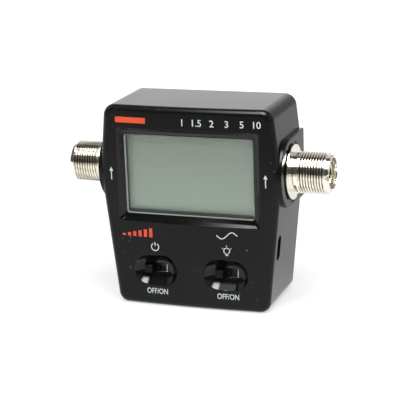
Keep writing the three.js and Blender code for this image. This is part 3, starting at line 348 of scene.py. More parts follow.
def outline_height(end, inset, across):
    """Height of the outline over |x|: level, then the corner's arc, then the slanted side."""
    x, z, radius, length = corner_of(end, inset)
    arc = z + end["up"] * np.sqrt(np.maximum(radius**2 - (across - x) ** 2, 0.0))
    side = WIDEST_Z + (across - WIDEST_HALF + inset * length) / lean_of(end)[0]
    slanted = np.where(across <= x + radius / length, arc, side)
    return np.where(across <= x, end["z"] - end["up"] * inset, slanted)


def places_across():
    """Shares of the half width at which the outline gets points: even on the level edges, at even angles
    round both corners, and close together at the widest point. Mirrored to the left half."""
    arcs = []
    for end in (TOP_END, FOOT_END):
        x, _, radius, length = corner_of(end, 0.0)
        angles = np.linspace(0.0, math.acos(end["up"] * lean_of(end)[0] / length), CORNER_STEPS + 1)
        arcs.append((x + radius * np.sin(angles)) / WIDEST_HALF)
    level = np.linspace(0.0, min(arc[0] for arc in arcs), CORNER_STEPS // 2, endpoint=False)
    right = np.unique(np.concatenate([level, *arcs, [NEAR_WIDEST, 1.0]]))
    return np.concatenate([-right[:0:-1], right])


SHARES_ACROSS = places_across()


def crown(x):
    """Depth of the crowned face behind its middle: it falls off with the square of x."""
    return PAINT_ROOM + FACE_CROWN * (x / WIDEST_HALF) ** 2


def outline_ring(inset, depth):
    """Ring of points round the housing: the top side from left to right and the foot side back. The depth
    is one number, or the crown plus a number where it comes as a function of x."""
    half, ridge = widest_point(inset)
    x = SHARES_ACROSS * half
    heights = [np.where(abs(SHARES_ACROSS) == 1.0, ridge, outline_height(end, inset, abs(x)))
               for end in (TOP_END, FOOT_END)]
    y = FRONT + (depth(x) if callable(depth) else np.full(len(x), depth))
    upper, lower = (np.column_stack([x, y, z]) for z in heights)
    return np.concatenate([upper, lower[-2:0:-1]])


def tube_faces(rings, around):
    """Quads between rings of as many points each, closed round."""
    here = np.arange(rings - 1)[:, None] * around + np.arange(around)
    after = np.arange(rings - 1)[:, None] * around + (np.arange(around) + 1) % around
    return np.stack([here, after, after + around, here + around], -1).reshape(-1, 4)


def strip_cap(first, flip):
    """Upright strips that close an outline ring, from its top side to its foot side."""
    count = len(SHARES_ACROSS)
    upper = np.arange(count)
    lower = np.where((upper == 0) | (upper == count - 1), upper, 2 * count - 2 - upper)
    strips = np.stack([upper[:-1], upper[1:], lower[1:], lower[:-1]], -1) + first
    strips = [list(dict.fromkeys(strip)) for strip in strips.tolist()]
    return [strip[::-1] for strip in strips] if flip else strips


def rounded(radius, steps):
    """Quarter circle from a face to a side, as pairs: how far in from the side, how far behind the face."""
    angle = np.linspace(math.pi / 2, 0.0, steps + 1)
    return np.column_stack([radius * (1 - np.cos(angle)), radius * (1 - np.sin(angle))])


def turned_out(piece):
    """Turns the faces outwards where the closed mesh is inside out."""
    edit = bmesh.new()
    edit.from_mesh(piece.data)
    if edit.calc_volume(signed=True) < 0:
        bmesh.ops.reverse_faces(edit, faces=edit.faces)
    edit.to_mesh(piece.data)
    edit.free()
    return piece


def stacked(name, rings, material):
    """Closed solid through outline rings, with upright strips over both ends."""
    around = len(rings[0])
    faces = tube_faces(len(rings), around).tolist()
    faces += strip_cap(0, True) + strip_cap((len(rings) - 1) * around, False)
    return turned_out(link_mesh(name, np.concatenate(rings), faces, material))


def housing_body(name, inset, front_depth, edge, rear_depth, rear_edge):
    """Closed body inside the outline: crowned front, quarter-circle front edge, straight sides, small round
    rear edge, flat rear."""
    rings = [outline_ring(inset + step_in, lambda x, back=step_back: crown(x) + front_depth + back)
             for step_in, step_back in rounded(edge, EDGE_STEPS)]
    if rear_edge:
        rings += [outline_ring(inset + step_in, rear_depth - step_back)
                  for step_in, step_back in rounded(rear_edge, EDGE_STEPS // 3)[::-1]]
    else:
        rings.append(outline_ring(inset, rear_depth))
    return stacked(name, rings, black_abs)


def loft(name, rings, material):
    """Closed solid through rings of as many points each, with a fan round the middle at each end."""
    rings = np.asarray(rings)
    count, around = rings.shape[:2]
    points = np.concatenate([rings.reshape(-1, 3), [rings[0].mean(0)], [rings[-1].mean(0)]])
    here, after = np.arange(around), (np.arange(around) + 1) % around
    first = np.column_stack([after, here, np.full(around, count * around)])
    last = np.column_stack([here, after, np.full(around, count * around + 1)])
    last[:, :2] += (count - 1) * around
    faces = tube_faces(count, around).tolist() + first.tolist() + last.tolist()
    return turned_out(link_mesh(name, points, faces, material))


def circle(radius, u=0.0, v=0.0, steps=ROUND_STEPS):
    """Round outline in a plane, with its points at even angles."""
    angle = np.arange(steps) * 2 * math.pi / steps
    return np.column_stack([u + radius * np.cos(angle), v + radius * np.sin(angle)])


def pill(length, height, u=0.0, v=0.0, steps=ROUND_STEPS):
    """Outline with round ends: two half circles joined by straight lines, long along the first axis."""
    radius = height / 2
    angle = np.linspace(-math.pi / 2, math.pi / 2, steps // 2 + 1)
    end = np.column_stack([length / 2 - radius + radius * np.cos(angle), radius * np.sin(angle)])
    return np.concatenate([end, -end]) + [u, v]


def rectangle(half_u, half_v, u=0.0, v=0.0, radius=FINE_CORNER, side_steps=1):
    """Rectangle with quarter-circle corners, and its long sides in as many steps as asked."""
    angle = np.linspace(0.0, math.pi / 2, CORNER_STEPS // 4 + 1)
    corner = radius * np.column_stack([np.cos(angle), np.sin(angle)]) + [half_u - radius, half_v - radius]
    inner = np.linspace(1.0, -1.0, side_steps + 1)[1:-1] * (half_u - radius)
    side = np.column_stack([inner, np.full(len(inner), half_v)])
    upper = np.concatenate([corner, side, corner[::-1] * [-1, 1]])
    return np.concatenate([upper, -upper]) + [u, v]


def along_y(outline, depth):
    """Ring from an outline in x and z at a depth behind the front."""
    return np.column_stack([outline[:, 0], FRONT + np.broadcast_to(depth, len(outline)), outline[:, 1]])


def along_x(outline, x):
    """Ring from an outline in y and z at a place along x."""
    return np.column_stack([np.broadcast_to(x, len(outline)), outline])


def slab_y(name, outline, start, end, material):
    """Prism of an outline in x and z, between two depths."""
    return loft(name, [along_y(outline, start), along_y(outline, end)], material)


def slab_x(name, outline, start, end, material):
    """Prism of an outline in y and z, between two places along x."""
    return loft(name, [along_x(outline, start), along_x(outline, end)], material)


def combine(piece, others, operation):
    """Joins the others to the piece, or cuts them from it, and removes them. What is cut keeps the
    finish of the cutter."""
    for other in others:
        step = piece.modifiers.new(other.name, "BOOLEAN")
        step.operation = operation
        step.solver = "EXACT"
        step.material_mode = "TRANSFER"
        step.object = other
    settle(piece)
    for other in others:
        bpy.data.objects.remove(other)
    return piece


def settle(piece):
    """Keeps what the modifiers make of the mesh, and removes them."""
    graph = bpy.context.evaluated_depsgraph_get()
    mesh = bpy.data.meshes.new_from_object(piece.evaluated_get(graph), depsgraph=graph)
    piece.modifiers.clear()
    piece.data = mesh
    return piece


def soften(piece, width=SOFT_EDGE):
    """Rounds the sharp edges by a small bevel and smooths the shading, with the wide faces kept flat."""
    if width:
        bevel = piece.modifiers.new("edges", "BEVEL")
        bevel.width = width * MM
        bevel.segments = EDGE_SEGMENTS
        bevel.limit_method = "ANGLE"
        bevel.angle_limit = SHARP_ANGLE
        bevel.use_clamp_overlap = False
        settle(piece)
    piece.data.shade_smooth()
    piece.data.set_sharp_from_angle(angle=SHARP_ANGLE)
    flat = piece.modifiers.new("flat faces", "WEIGHTED_NORMAL")
    flat.keep_sharp = True
    return settle(piece)


def declare(piece, node, body="case"):
    """Says which body a piece rides on, and hides the CAD node it replaces."""
    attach(piece, body)
    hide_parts(node)
    return piece


NOISE_MEAN = 0.5
NO_DETAIL = 0.0
LITTLE_DETAIL = 1.0
DETAIL = 2.0
FINE_DETAIL = 3.0
EVEN = (1.0, 1.0, 1.0)


def object_noise(shader, per_mm, detail=DETAIL, stretch=EVEN):
    """Noise fixed to the object, with so many grains to the millimetre, stretched along the axes."""
    coordinates = shader.make("ShaderNodeTexCoord", output="Object")
    scaled = shader.make("ShaderNodeMapping", values={"Vector": coordinates, "Scale": stretch})
    values = {"Vector": scaled, "Scale": per_mm / MM, "Detail": detail}
    return shader.make("ShaderNodeTexNoise", values=values)


def blended(shader, share, first, second):
    """Colour between two, by a share from 0 to 1."""
    values = {0: share, 6: first, 7: second}
    return shader.make("ShaderNodeMix", {"data_type": "RGBA"}, values, output=2)


def bumped(shader, height, depth_mm):
    """Normal from a height field of 0 to 1 that is so deep."""
    values = {"Height": height, "Distance": depth_mm * MM, "Strength": 1.0}
    return shader.make("ShaderNodeBump", values=values)


def principled(material, shader, values):
    """Ends a material with a Principled surface of these values."""
    shader.finish(shader.make("ShaderNodeBsdfPrincipled", values=values))
    return material


GRAIN_PER_MM = 2.6
GRAIN_GLOSS = 0.10
CLOUD_PER_MM = 0.05
CLOUD_TONES = (0.35, 0.65)
CLOUD_GLOSS = 0.06
DUST_PER_MM = 0.9
DUST_START = (0.80, 0.86)
DUST_SHARE = 0.14
DUST_COLOUR = (0.30, 0.30, 0.29, 1.0)


def moulded_plastic(name, dark, light, roughness, grain_depth, specular):
    """Moulded plastic: fine eroded grain, slow change of tone and of gloss, and a few specks of dust."""
    material, shader = new_material(name)
    grain = object_noise(shader, GRAIN_PER_MM, FINE_DETAIL)
    cloud = object_noise(shader, CLOUD_PER_MM)
    dust = object_noise(shader, DUST_PER_MM, NO_DETAIL).steps(*DUST_START)
    tone = blended(shader, cloud.steps(*CLOUD_TONES), (*dark, 1.0), (*light, 1.0))
    tone = blended(shader, dust * DUST_SHARE, tone, DUST_COLOUR)
    gloss = roughness + (grain - NOISE_MEAN) * GRAIN_GLOSS + (cloud - NOISE_MEAN) * CLOUD_GLOSS
    return principled(material, shader, {
        "Base Color": tone, "Roughness": gloss, "Specular IOR Level": specular,
        "Normal": bumped(shader, grain, grain_depth),
    })


black_abs = moulded_plastic(
    "black_abs_grained", dark=(0.0036, 0.0038, 0.0038), light=(0.0054, 0.0056, 0.0056),
    roughness=0.19, grain_depth=0.010, specular=0.14,
)
polished_abs = moulded_plastic(
    "black_abs_polished", dark=(0.003, 0.003, 0.003), light=(0.004, 0.004, 0.004),
    roughness=0.07, grain_depth=0.001, specular=0.24,
)

# Side bosses: each stands out a little, is round at the front and straight to the rear, and has a recess for
# the flange of a socket outside and a round pad for its nut inside.
BOSS_RECESS_RADIUS = 11.6
BOSS_RECESS_DEPTH = 0.5
BOSS_RADIUS = 13.2
BOSS_FRONT_GAP = 1.4
BOSS_ROOT = 4.0
BOSS_EDGE = 0.5
INNER_PAD_RADIUS = 11.0
BOSS_THICKNESS = 3.5
INNER_PAD_HALF = BOSS_FACE - BOSS_THICKNESS
THREAD_RADIUS = 7.94
SOCKET_HOLE_RADIUS = THREAD_RADIUS + SEAT_GAP


def boss_outline(inset):
    """Half circle at the front and straight edges to the rear, moved inwards by the inset, in y and z."""
    radius = BOSS_RADIUS - inset
    angle = np.linspace(math.pi / 2, math.pi * 1.5, ROUND_STEPS)
    middle = FRONT + BOSS_FRONT_GAP + BOSS_RADIUS
    arc = np.column_stack([middle + radius * np.cos(angle), SOCKET_Z + radius * np.sin(angle)])
    rear = REAR - REAR_EDGE - inset
    return np.concatenate([arc, [[rear, SOCKET_Z - radius], [rear, SOCKET_Z + radius]]])


def side_boss(side):
    """Boss with a round outer edge, on the right (1) or left (-1)."""
    steps = rounded(BOSS_EDGE, EDGE_STEPS // 2)[::-1]
    rings = [along_x(boss_outline(0.0), side * (BOSS_FACE - BOSS_ROOT))]
    rings += [along_x(boss_outline(step_in), side * (BOSS_FACE - step_back)) for step_in, step_back in steps]
    return loft(f"boss_{side}", rings, black_abs)


# Window: a steep outer bevel and a flatter slope lead from the face down to the opening. Behind it a rim
# holds the rebate for the lens.
WINDOW_DEPTH = 2.4
WINDOW_SLOPE_WIDTH = 2.6
WINDOW_BEND = {"out": 1.60, "down": 1.32}
WINDOW_EASE = 0.22
WINDOW_EASE_PARTS = 2
WINDOW_EASE_STEPS = 5
WINDOW_EDGE_LIFT = 0.06
WINDOW_CORNER = 1.2
WINDOW_SIDE_STEPS = 16
WINDOW_RIM = 3.4
LENS_OVERLAP = 1.6
LENS_CORNER = 1.0
lens_half = (lens_high - lens_low) / 2
window_half_x, window_half_z = lens_half[0] - LENS_OVERLAP, lens_half[2] - LENS_OVERLAP
WINDOW_Z = (lens_low[2] + lens_high[2]) / 2
WINDOW_REAR = lens_high[1] - FRONT + SEAT_GAP


def window_ring(out, down, above=0.0):
    """Ring round the opening, so far out, and so far down from the crowned face on its way to the lens."""
    half_x, half_z = window_half_x + out, window_half_z + out
    outline = rectangle(half_x, half_z, 0.0, WINDOW_Z, WINDOW_CORNER, WINDOW_SIDE_STEPS)
    face = crown(outline[:, 0])
    return along_y(outline, face + (WINDOW_DEPTH - face) * down / WINDOW_DEPTH - above)


def eased_corner(before, corner, after, reach, parts, steps):
    """Small curve in the place of a corner: the corner, plus the limb back times the square of what is left
    of the way, plus the limb onwards times the square of what is done. A limb is as long as the reach, and
    at most one of so many parts of its edge."""
    limbs = []
    for limb in (before - corner, after - corner):
        length = np.linalg.norm(limb)
        limbs.append(limb / length * min(reach, length / parts))
    done = np.linspace(0.0, 1.0, steps + 1)[:, None]
    return corner + limbs[0] * (1 - done) ** 2 + limbs[1] * done**2


def window_cutter():
    """Hollow round the opening: a steep outer bevel and a flatter slope down to the lens. Both corners are
    small curves, and the first leaves the face without an edge."""
    corners = np.array([
        (WINDOW_SLOPE_WIDTH + 2 * WINDOW_EASE, 0.0), (WINDOW_SLOPE_WIDTH, 0.0),
        (WINDOW_BEND["out"], WINDOW_BEND["down"]), (0.0, WINDOW_DEPTH),
    ])
    turn = np.linspace(0.0, 1.0, WINDOW_EASE_STEPS + 1)
    rings = [window_ring(WINDOW_SLOPE_WIDTH + WINDOW_EASE, 0.0, OVERRUN)]
    for before, corner, after in zip(corners, corners[1:], corners[2:]):
        curve = eased_corner(before, corner, after, WINDOW_EASE, WINDOW_EASE_PARTS, WINDOW_EASE_STEPS)
        lift = WINDOW_EDGE_LIFT * (1 - turn) ** 2 * (corner[1] == 0.0)
        rings += [window_ring(out, down, above) for (out, down), above in zip(curve, lift)]
    rings += [window_ring(0.0, WINDOW_DEPTH), window_ring(0.0, WINDOW_DEPTH, -OVERRUN)]
    return loft("window", rings, polished_abs)


# Finger bowls: two oval hollows, polished in the mould, each over the slot of a switch. The slot is long
# enough for the lever's travel.
BOWL_LENGTH = 18.2
BOWL_HEIGHT = 12.0
BOWL_DEPTH = 3.2
BOWL_FLOOR = 1.0
BOWL_RUN = 5.0
BOWL_WALL = 1.2
BOWL_STEPS = 24
BOWL_SPACING = 28.8
BOWL_Z = 14.6
SLOT_SHIFT = -0.6
KNOB_TRAVEL = 5.0
KNOB_WIDTH = 3.2
KNOB_HEIGHT = 3.1
SLOT_ROOM_ALONG = 0.4
SLOT_ROOM_UP = 0.35
SLOT_HALF_LENGTH = (KNOB_TRAVEL + KNOB_WIDTH) / 2 + SLOT_ROOM_ALONG
SLOT_HALF_HEIGHT = KNOB_HEIGHT / 2 + SLOT_ROOM_UP
bowl_places = [-BOWL_SPACING / 2, BOWL_SPACING / 2]


def bowl_cutter(x):
    """Oval hollow like a spoon: a parabola leads from the rim to the flat middle of its floor."""
    share = np.linspace(0.0, 1.0, BOWL_STEPS + 1)
    sunk = 1 - (1 - share) ** 2
    rings = [along_y(pill(BOWL_LENGTH, BOWL_HEIGHT, x, BOWL_Z), -OVERRUN)]
    for inset, down in zip(share * BOWL_RUN, sunk):
        outline = pill(BOWL_LENGTH - 2 * inset, BOWL_HEIGHT - 2 * inset, x, BOWL_Z)
        rings.append(along_y(outline, crown(x) + (BOWL_DEPTH - crown(x)) * down))
    return loft(f"bowl_{x:.0f}", rings, polished_abs)


# Posts behind the face, with pilot holes: four take the screws of the cover, and three those of the board.
POST_STEPS = 32
CASE_POST_RADIUS = 2.6
CASE_PILOT_RADIUS = 1.3
CASE_SCREWS = 4
BOARD_POST_RADIUS = 2.2
BOARD_PILOT_RADIUS = 1.1
BOARD_SCREWS = 3
screw_centres = [middle_mm(f"case_screw_{number}") for number in range(1, CASE_SCREWS + 1)]
board_centres = [middle_mm(f"board_screw_{number}") for number in range(1, BOARD_SCREWS + 1)]
CASE_POST_END = box_mm("rear_cover")[0][1] - FRONT - SEAT_GAP
BOARD_POST_END = box_mm("main_board")[0][1] - FRONT - SEAT_GAP
PILOT_START = FRONT_WALL + WALL


def post(place, radius, end, start=WALL):
    """Round pillar along the depth at the place of a screw."""
    return slab_y("post", circle(radius, place[0], place[2], POST_STEPS), start, end, black_abs)


# Charging slot: an upright oval in the right side wall, a little larger than the socket behind it.
PORT_SLOT_ROOM = 0.4
port_low, port_high = box_mm("charge_socket_shell")
port_middle = middle_mm("charge_socket_shell")
port_size = port_high - port_low


def port_outline(grow=0.0):
    """Upright oval in y and z."""
    outline = pill(port_size[2] + 2 * grow, port_size[1] + 2 * grow, steps=ROUND_STEPS // 2)
    return outline[:, ::-1] + port_middle[1:]


# The moulding: the shell with its bosses is hollowed, the inner features are joined to it, and then the
# window, the bowls and all holes are cut.
housing = housing_body("housing", 0.0, 0.0, FRONT_EDGE, DEPTH, REAR_EDGE)
combine(housing, [side_boss(side) for side in (-1, 1)], "UNION")
cavity = housing_body("cavity", WALL, FRONT_WALL, FRONT_EDGE - WALL / 2, DEPTH + OVERRUN, 0.0)
combine(housing, [cavity], "DIFFERENCE")
rim = rectangle(window_half_x + WINDOW_RIM, window_half_z + WINDOW_RIM, 0.0, WINDOW_Z, WINDOW_CORNER)
inner_features = [slab_y("window_rim", rim, WALL, WINDOW_REAR, black_abs)]
for x in bowl_places:
    boss = pill(BOWL_LENGTH + 2 * BOWL_WALL, BOWL_HEIGHT + 2 * BOWL_WALL, x, BOWL_Z)
    inner_features.append(slab_y("bowl_boss", boss, WALL, BOWL_DEPTH + BOWL_FLOOR, black_abs))
inner_features += [post(place, CASE_POST_RADIUS, CASE_POST_END) for place in screw_centres]
inner_features += [post(place, BOARD_POST_RADIUS, BOARD_POST_END) for place in board_centres]
pad = circle(INNER_PAD_RADIUS, 0.0, SOCKET_Z)
for side in (-1, 1):
    inner_features.append(slab_x("pad", pad, side * INNER_PAD_HALF, side * (BOSS_FACE - WALL), black_abs))
combine(housing, inner_features, "UNION")

rebate = rectangle(lens_half[0] + SEAT_GAP, lens_half[2] + SEAT_GAP, 0.0, WINDOW_Z, LENS_CORNER)
cutters = [window_cutter(), slab_y("lens_rebate", rebate, WINDOW_DEPTH, WINDOW_REAR + OVERRUN, black_abs)]
cutters += [bowl_cutter(x) for x in bowl_places]
for x in bowl_places:
    slot = rectangle(SLOT_HALF_LENGTH, SLOT_HALF_HEIGHT, x + SLOT_SHIFT, BOWL_Z)
    slot_end = BOWL_DEPTH + BOWL_FLOOR + OVERRUN
    cutters.append(slab_y("slot", slot, BOWL_DEPTH - OVERRUN, slot_end, black_abs))
cutters += [post(place, CASE_PILOT_RADIUS, CASE_POST_END + OVERRUN, PILOT_START) for place in screw_centres]
cutters += [post(place, BOARD_PILOT_RADIUS, BOARD_POST_END + OVERRUN, PILOT_START) for place in board_centres]
hole = circle(SOCKET_HOLE_RADIUS, 0.0, SOCKET_Z)
recess = circle(BOSS_RECESS_RADIUS, 0.0, SOCKET_Z)
for side in (-1, 1):
    seat = side * (BOSS_FACE - BOSS_RECESS_DEPTH)
    cutters.append(slab_x("hole", hole, side * (INNER_PAD_HALF - OVERRUN), side * BOSS_FACE, black_abs))
    cutters.append(slab_x("recess", recess, seat, side * (BOSS_FACE + OVERRUN), black_abs))
port_slot = port_outline(PORT_SLOT_ROOM)
cutters.append(slab_x("port", port_slot, port_high[0] - OVERRUN, port_high[0] + 3 * OVERRUN, black_abs))
combine(housing, cutters, "DIFFERENCE")
declare(soften(housing), "front_case")


# Window lens: clear acrylic with a coating against glare. A raised field fills the opening of the front, and
# a thin flange behind it is glued to the rebate. The field's sides show a painted reflection of the display.
LENS_FIELD_ROOM = 0.12
LENS_FIELD_STANDOUT = 0.2
LENS_FIELD_START = WINDOW_DEPTH - LENS_FIELD_STANDOUT
LENS_FIELD_EDGE = 0.08
LENS_FLANGE = 0.3
PAINTED_REFLECTION_STRIP = 1
LENS_INDEX = 1.25
LENS_ROUGHNESS = 0.015
WIPED_PER_MM = 0.08
WIPED_ROUGHNESS = 0.03


def clear_plastic(name, tint):
    """Clear sheet: it lets light straight through, and mirrors more of it the flatter one looks along it."""
    material, shader = new_material(name)
    roughness = LENS_ROUGHNESS + object_noise(shader, WIPED_PER_MM) * WIPED_ROUGHNESS
    mirror = shader.make("ShaderNodeBsdfGlossy", values={"Color": WHITE, "Roughness": roughness})
    passing = shader.make("ShaderNodeBsdfTransparent", values={"Color": tint})
    share = shader.make("ShaderNodeFresnel", values={"IOR": LENS_INDEX})
    shader.finish(shader.make("ShaderNodeMixShader", values={0: share, 1: passing, 2: mirror}))
    return material


GLOSS_SPREAD = 0.12
CLOUD_SCALE = 0.12
CLOUD_START = (0.3, 0.7)
CLOUD_WEIGHT = 0.6


def matter(name, dark, light, roughness, metallic=0.0, per_mm=1.2, depth=0.01, specular=0.5, stretch=EVEN):
    """Even material: a soft change between two tones, a fine grain, and a little change of gloss."""
    material, shader = new_material(name)
    grain = object_noise(shader, per_mm, FINE_DETAIL, stretch)
    cloud = object_noise(shader, per_mm * CLOUD_SCALE)
    share = cloud.steps(*CLOUD_START) * CLOUD_WEIGHT + grain * (1 - CLOUD_WEIGHT)
    return principled(material, shader, {
        "Base Color": blended(shader, share, (*dark, 1.0), (*light, 1.0)),
        "Roughness": roughness + (grain - NOISE_MEAN) * GLOSS_SPREAD, "Metallic": metallic,
        "Specular IOR Level": specular, "Normal": bumped(shader, grain, depth),
    })


def paint_strips(piece, around, strips):
    """Gives the faces of these strips of a loft, counted from its first ring, its second material."""
    marks = np.zeros(len(piece.data.polygons), dtype=np.int32)
    for strip in strips:
        marks[strip * around:(strip + 1) * around] = 1
    piece.data.polygons.foreach_set("material_index", marks)
    return piece


def lens_ring(inset, depth):
    """Outline of the raised field, moved in by the inset, at a depth."""
    half_x, half_z = window_half_x - LENS_FIELD_ROOM - inset, window_half_z - LENS_FIELD_ROOM - inset
    return along_y(rectangle(half_x, half_z, 0.0, WINDOW_Z, LENS_CORNER), depth)


LENS_END = lens_high[1] - FRONT
flange_start = LENS_END - LENS_FLANGE
flange_ring = rectangle(lens_half[0], lens_half[2], 0.0, WINDOW_Z, LENS_CORNER)
lens_rings = [
    lens_ring(LENS_FIELD_EDGE, LENS_FIELD_START), lens_ring(0.0, LENS_FIELD_START + LENS_FIELD_EDGE),
    lens_ring(0.0, flange_start), along_y(flange_ring, flange_start), along_y(flange_ring, LENS_END),
]
lens = loft("lens", lens_rings, clear_plastic("clear_acrylic_sheet", (0.975, 0.985, 0.975, 1.0)))
# Second finish for the sides of the field: light grey-green, a painted reflection of the display.
lens.data.materials.append(matter("lens_side_painted_reflection", (0.70, 0.76, 0.70), (0.84, 0.88, 0.84), 0.55))
declare(paint_strips(lens, len(flange_ring), [PAINTED_REFLECTION_STRIP]), "window_lens")


# Display: two glass plates with a reflective grey-green cell between them, held by a moulded frame against
# the board. A milky plate behind it is lit by two lamps, and a rubber strip makes the contacts.
FRAME_OPENING_HALF = 25.75
FRAME_OPENING_FOOT = 37.25
FRAME_OPENING_TOP = 67.4
FRAME_FACE = 1.1
FRAME_WALL = 0.8
PLATE_LEDGE = 1.9
PLATE_CORNER = 0.1
FILM_INSET = 0.5
FILM_THICKNESS = 0.15
FILM_STRIPS = 2
FINE_EDGE = 0.08
frame_low, frame_high = box_mm("lcd_frame")
glass_low, glass_high = box_mm("lcd_glass")
frame_start, frame_end = frame_low[1] - FRONT, frame_high[1] - FRONT
GLASS_START, GLASS_END = glass_low[1] - FRONT, glass_high[1] - FRONT
# The cell's two tones paint shade: the darker one at the top, the lighter and greener one at the foot.
CELL_TOP_SHADED = (0.330, 0.365, 0.330, 1.0)
CELL_FOOT_LIT = (0.385, 0.450, 0.392, 1.0)
FILM_GRAIN_PER_MM = 6.0
FILM_GRAIN_TONE = 0.06
FILM_GRAIN_DEPTH = 0.002
FILM_ROUGHNESS = 0.42
FILM_GRAIN_ROUGHNESS = 0.1


def upright_rectangle(low_x, high_x, low_z, high_z, radius=FINE_CORNER):
    """Rectangle by its edges, in x and z."""
    middle_x, middle_z = (low_x + high_x) / 2, (low_z + high_z) / 2
    return rectangle((high_x - low_x) / 2, (high_z - low_z) / 2, middle_x, middle_z, radius)


def box_outline(low, high, inset=0.0, radius=FINE_CORNER):
    """Rectangle in x and z round a box, moved inwards by the inset."""
    return upright_rectangle(low[0] + inset, high[0] - inset, low[2] + inset, high[2] - inset, radius)


def display_cell_painted_shade():
    """Blank liquid crystal under a matt film, with painted shade: a little darker at its top, and lighter and
    greener towards its foot.
    """
    material, shader = new_material("display_cell_painted_shade")
    z = xyz_of(shader, shader.make("ShaderNodeTexCoord", output="Object"))[2]
    # Painted shade: the share of the darker top tone grows with height.
    height = z.steps(FRAME_OPENING_FOOT * MM, FRAME_OPENING_TOP * MM)
    grain = object_noise(shader, FILM_GRAIN_PER_MM, LITTLE_DETAIL)
    share = height + (grain - NOISE_MEAN) * FILM_GRAIN_TONE
    return principled(material, shader, {
        "Base Color": blended(shader, share, CELL_FOOT_LIT, CELL_TOP_SHADED),
        "Roughness": FILM_ROUGHNESS + grain * FILM_GRAIN_ROUGHNESS,
        "Normal": bumped(shader, grain, FILM_GRAIN_DEPTH),
    })


frame_black = matter("frame_moulding", (0.040, 0.052, 0.047), (0.055, 0.068, 0.060), 0.5)
frame_outline = box_outline(frame_low, frame_high)
display_frame = slab_y("display_frame", frame_outline, frame_start, frame_end, frame_black)
opening = upright_rectangle(-FRAME_OPENING_HALF, FRAME_OPENING_HALF, FRAME_OPENING_FOOT, FRAME_OPENING_TOP)
pocket = box_outline(frame_low, frame_high, FRAME_WALL)
pocket_start = frame_start + FRAME_FACE
combine(display_frame, [
    slab_y("opening", opening, frame_start - OVERRUN, pocket_start + OVERRUN, frame_black),
    slab_y("pocket", pocket, pocket_start, frame_end + OVERRUN, frame_black),
], "DIFFERENCE")
declare(soften(display_frame), "lcd_frame")

plate_middle = (GLASS_START + GLASS_END) / 2
film_end = GLASS_START + FILM_THICKNESS
above_ledge = np.array([0.0, 0.0, PLATE_LEDGE])
film = box_outline(glass_low + above_ledge, glass_high, FILM_INSET, PLATE_CORNER)
front_plate = box_outline(glass_low + above_ledge, glass_high, 0.0, PLATE_CORNER)
rear_plate = box_outline(glass_low, glass_high, 0.0, PLATE_CORNER)
plate_rings = [
    along_y(film, GLASS_START), along_y(film, film_end), along_y(front_plate, film_end),
    along_y(front_plate, plate_middle), along_y(rear_plate, plate_middle), along_y(rear_plate, GLASS_END),
]
display = loft("display", plate_rings, display_cell_painted_shade())
display.data.materials.append(matter("plate_glass", (0.16, 0.20, 0.18), (0.24, 0.28, 0.25), 0.12))
paint_strips(display, len(film), range(FILM_STRIPS, len(plate_rings) - 1))
declare(soften(display, FINE_EDGE), "lcd_glass")


def repaint(material, *prefixes):
    """Gives a worked-out material to the CAD nodes whose names start like this."""
    for name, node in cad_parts.items():
        if name.startswith(prefixes):
            node.data.materials[0] = material


striped_rubber = matter(
    "striped_rubber", (0.16, 0.14, 0.12), (0.60, 0.52, 0.44), 0.6, per_mm=2.0, stretch=(1.0, 0.1, 0.1),
)
repaint(matter("milky_plate", (0.66, 0.68, 0.64), (0.78, 0.79, 0.75), 0.35), "light_guide")
repaint(matter("lamp_phosphor", (0.75, 0.68, 0.35), (0.85, 0.80, 0.50), 0.4), "backlight_led")
repaint(striped_rubber, "contact_strip")


# Slide switches: each has a folded tin-plated can, a brown base of hard paper under the slot, and a moulded
# black lever on a foot that slides in the can.
SWITCH_WALL = 0.5
KNOB_EDGE = 0.35
KNOB_EDGE_STEPS = 6
LEVER_FRONT = 0.8
FOOT_THICKNESS = 1.4
BASE_THICKNESS = 1.9
LUG_THICKNESS = 0.36
LUG_HALF = 1.6
LUG_HEIGHT = 0.9
tin_plate = matter(
    "tin_plate_rolled", (0.44, 0.44, 0.42), (0.60, 0.59, 0.56), 0.28, 1.0, stretch=(0.15, 1.0, 1.0),
)
lever_black = matter(
    "lever_black_moulded", (0.003, 0.003, 0.003), (0.004, 0.004, 0.004), 0.26, specular=0.10,
)
hard_paper = matter("hard_paper_brown", (0.030, 0.021, 0.015), (0.045, 0.032, 0.024), 0.45)


def switch_lever(name):
    """Lever with rounded rims in one piece with its foot: the rings follow a quarter circle, then go
    straight down into the foot."""
    low, high = box_mm(f"{name}_switch_knob")
    x, _, z = middle_mm(f"{name}_switch_knob")
    foot_end = high[1] - FRONT
    steps = [(step_in, LEVER_FRONT + step_back) for step_in, step_back in rounded(KNOB_EDGE, KNOB_EDGE_STEPS)]
    rings = []
    for inset, depth in [*steps, (0.0, foot_end - FOOT_THICKNESS / 2)]:
        half_x, half_z = KNOB_WIDTH / 2 - inset, KNOB_HEIGHT / 2 - inset
        rings.append(along_y(rectangle(half_x, half_z, x, z), depth))
    lever = loft(f"{name}_lever", rings, lever_black)
    foot = slab_y("foot", box_outline(low, high), foot_end - FOOT_THICKNESS, foot_end, lever_black)
    combine(lever, [foot], "UNION")
    declare(soften(lever, FINE_EDGE), f"{name}_switch_knob", f"{name}_knob")


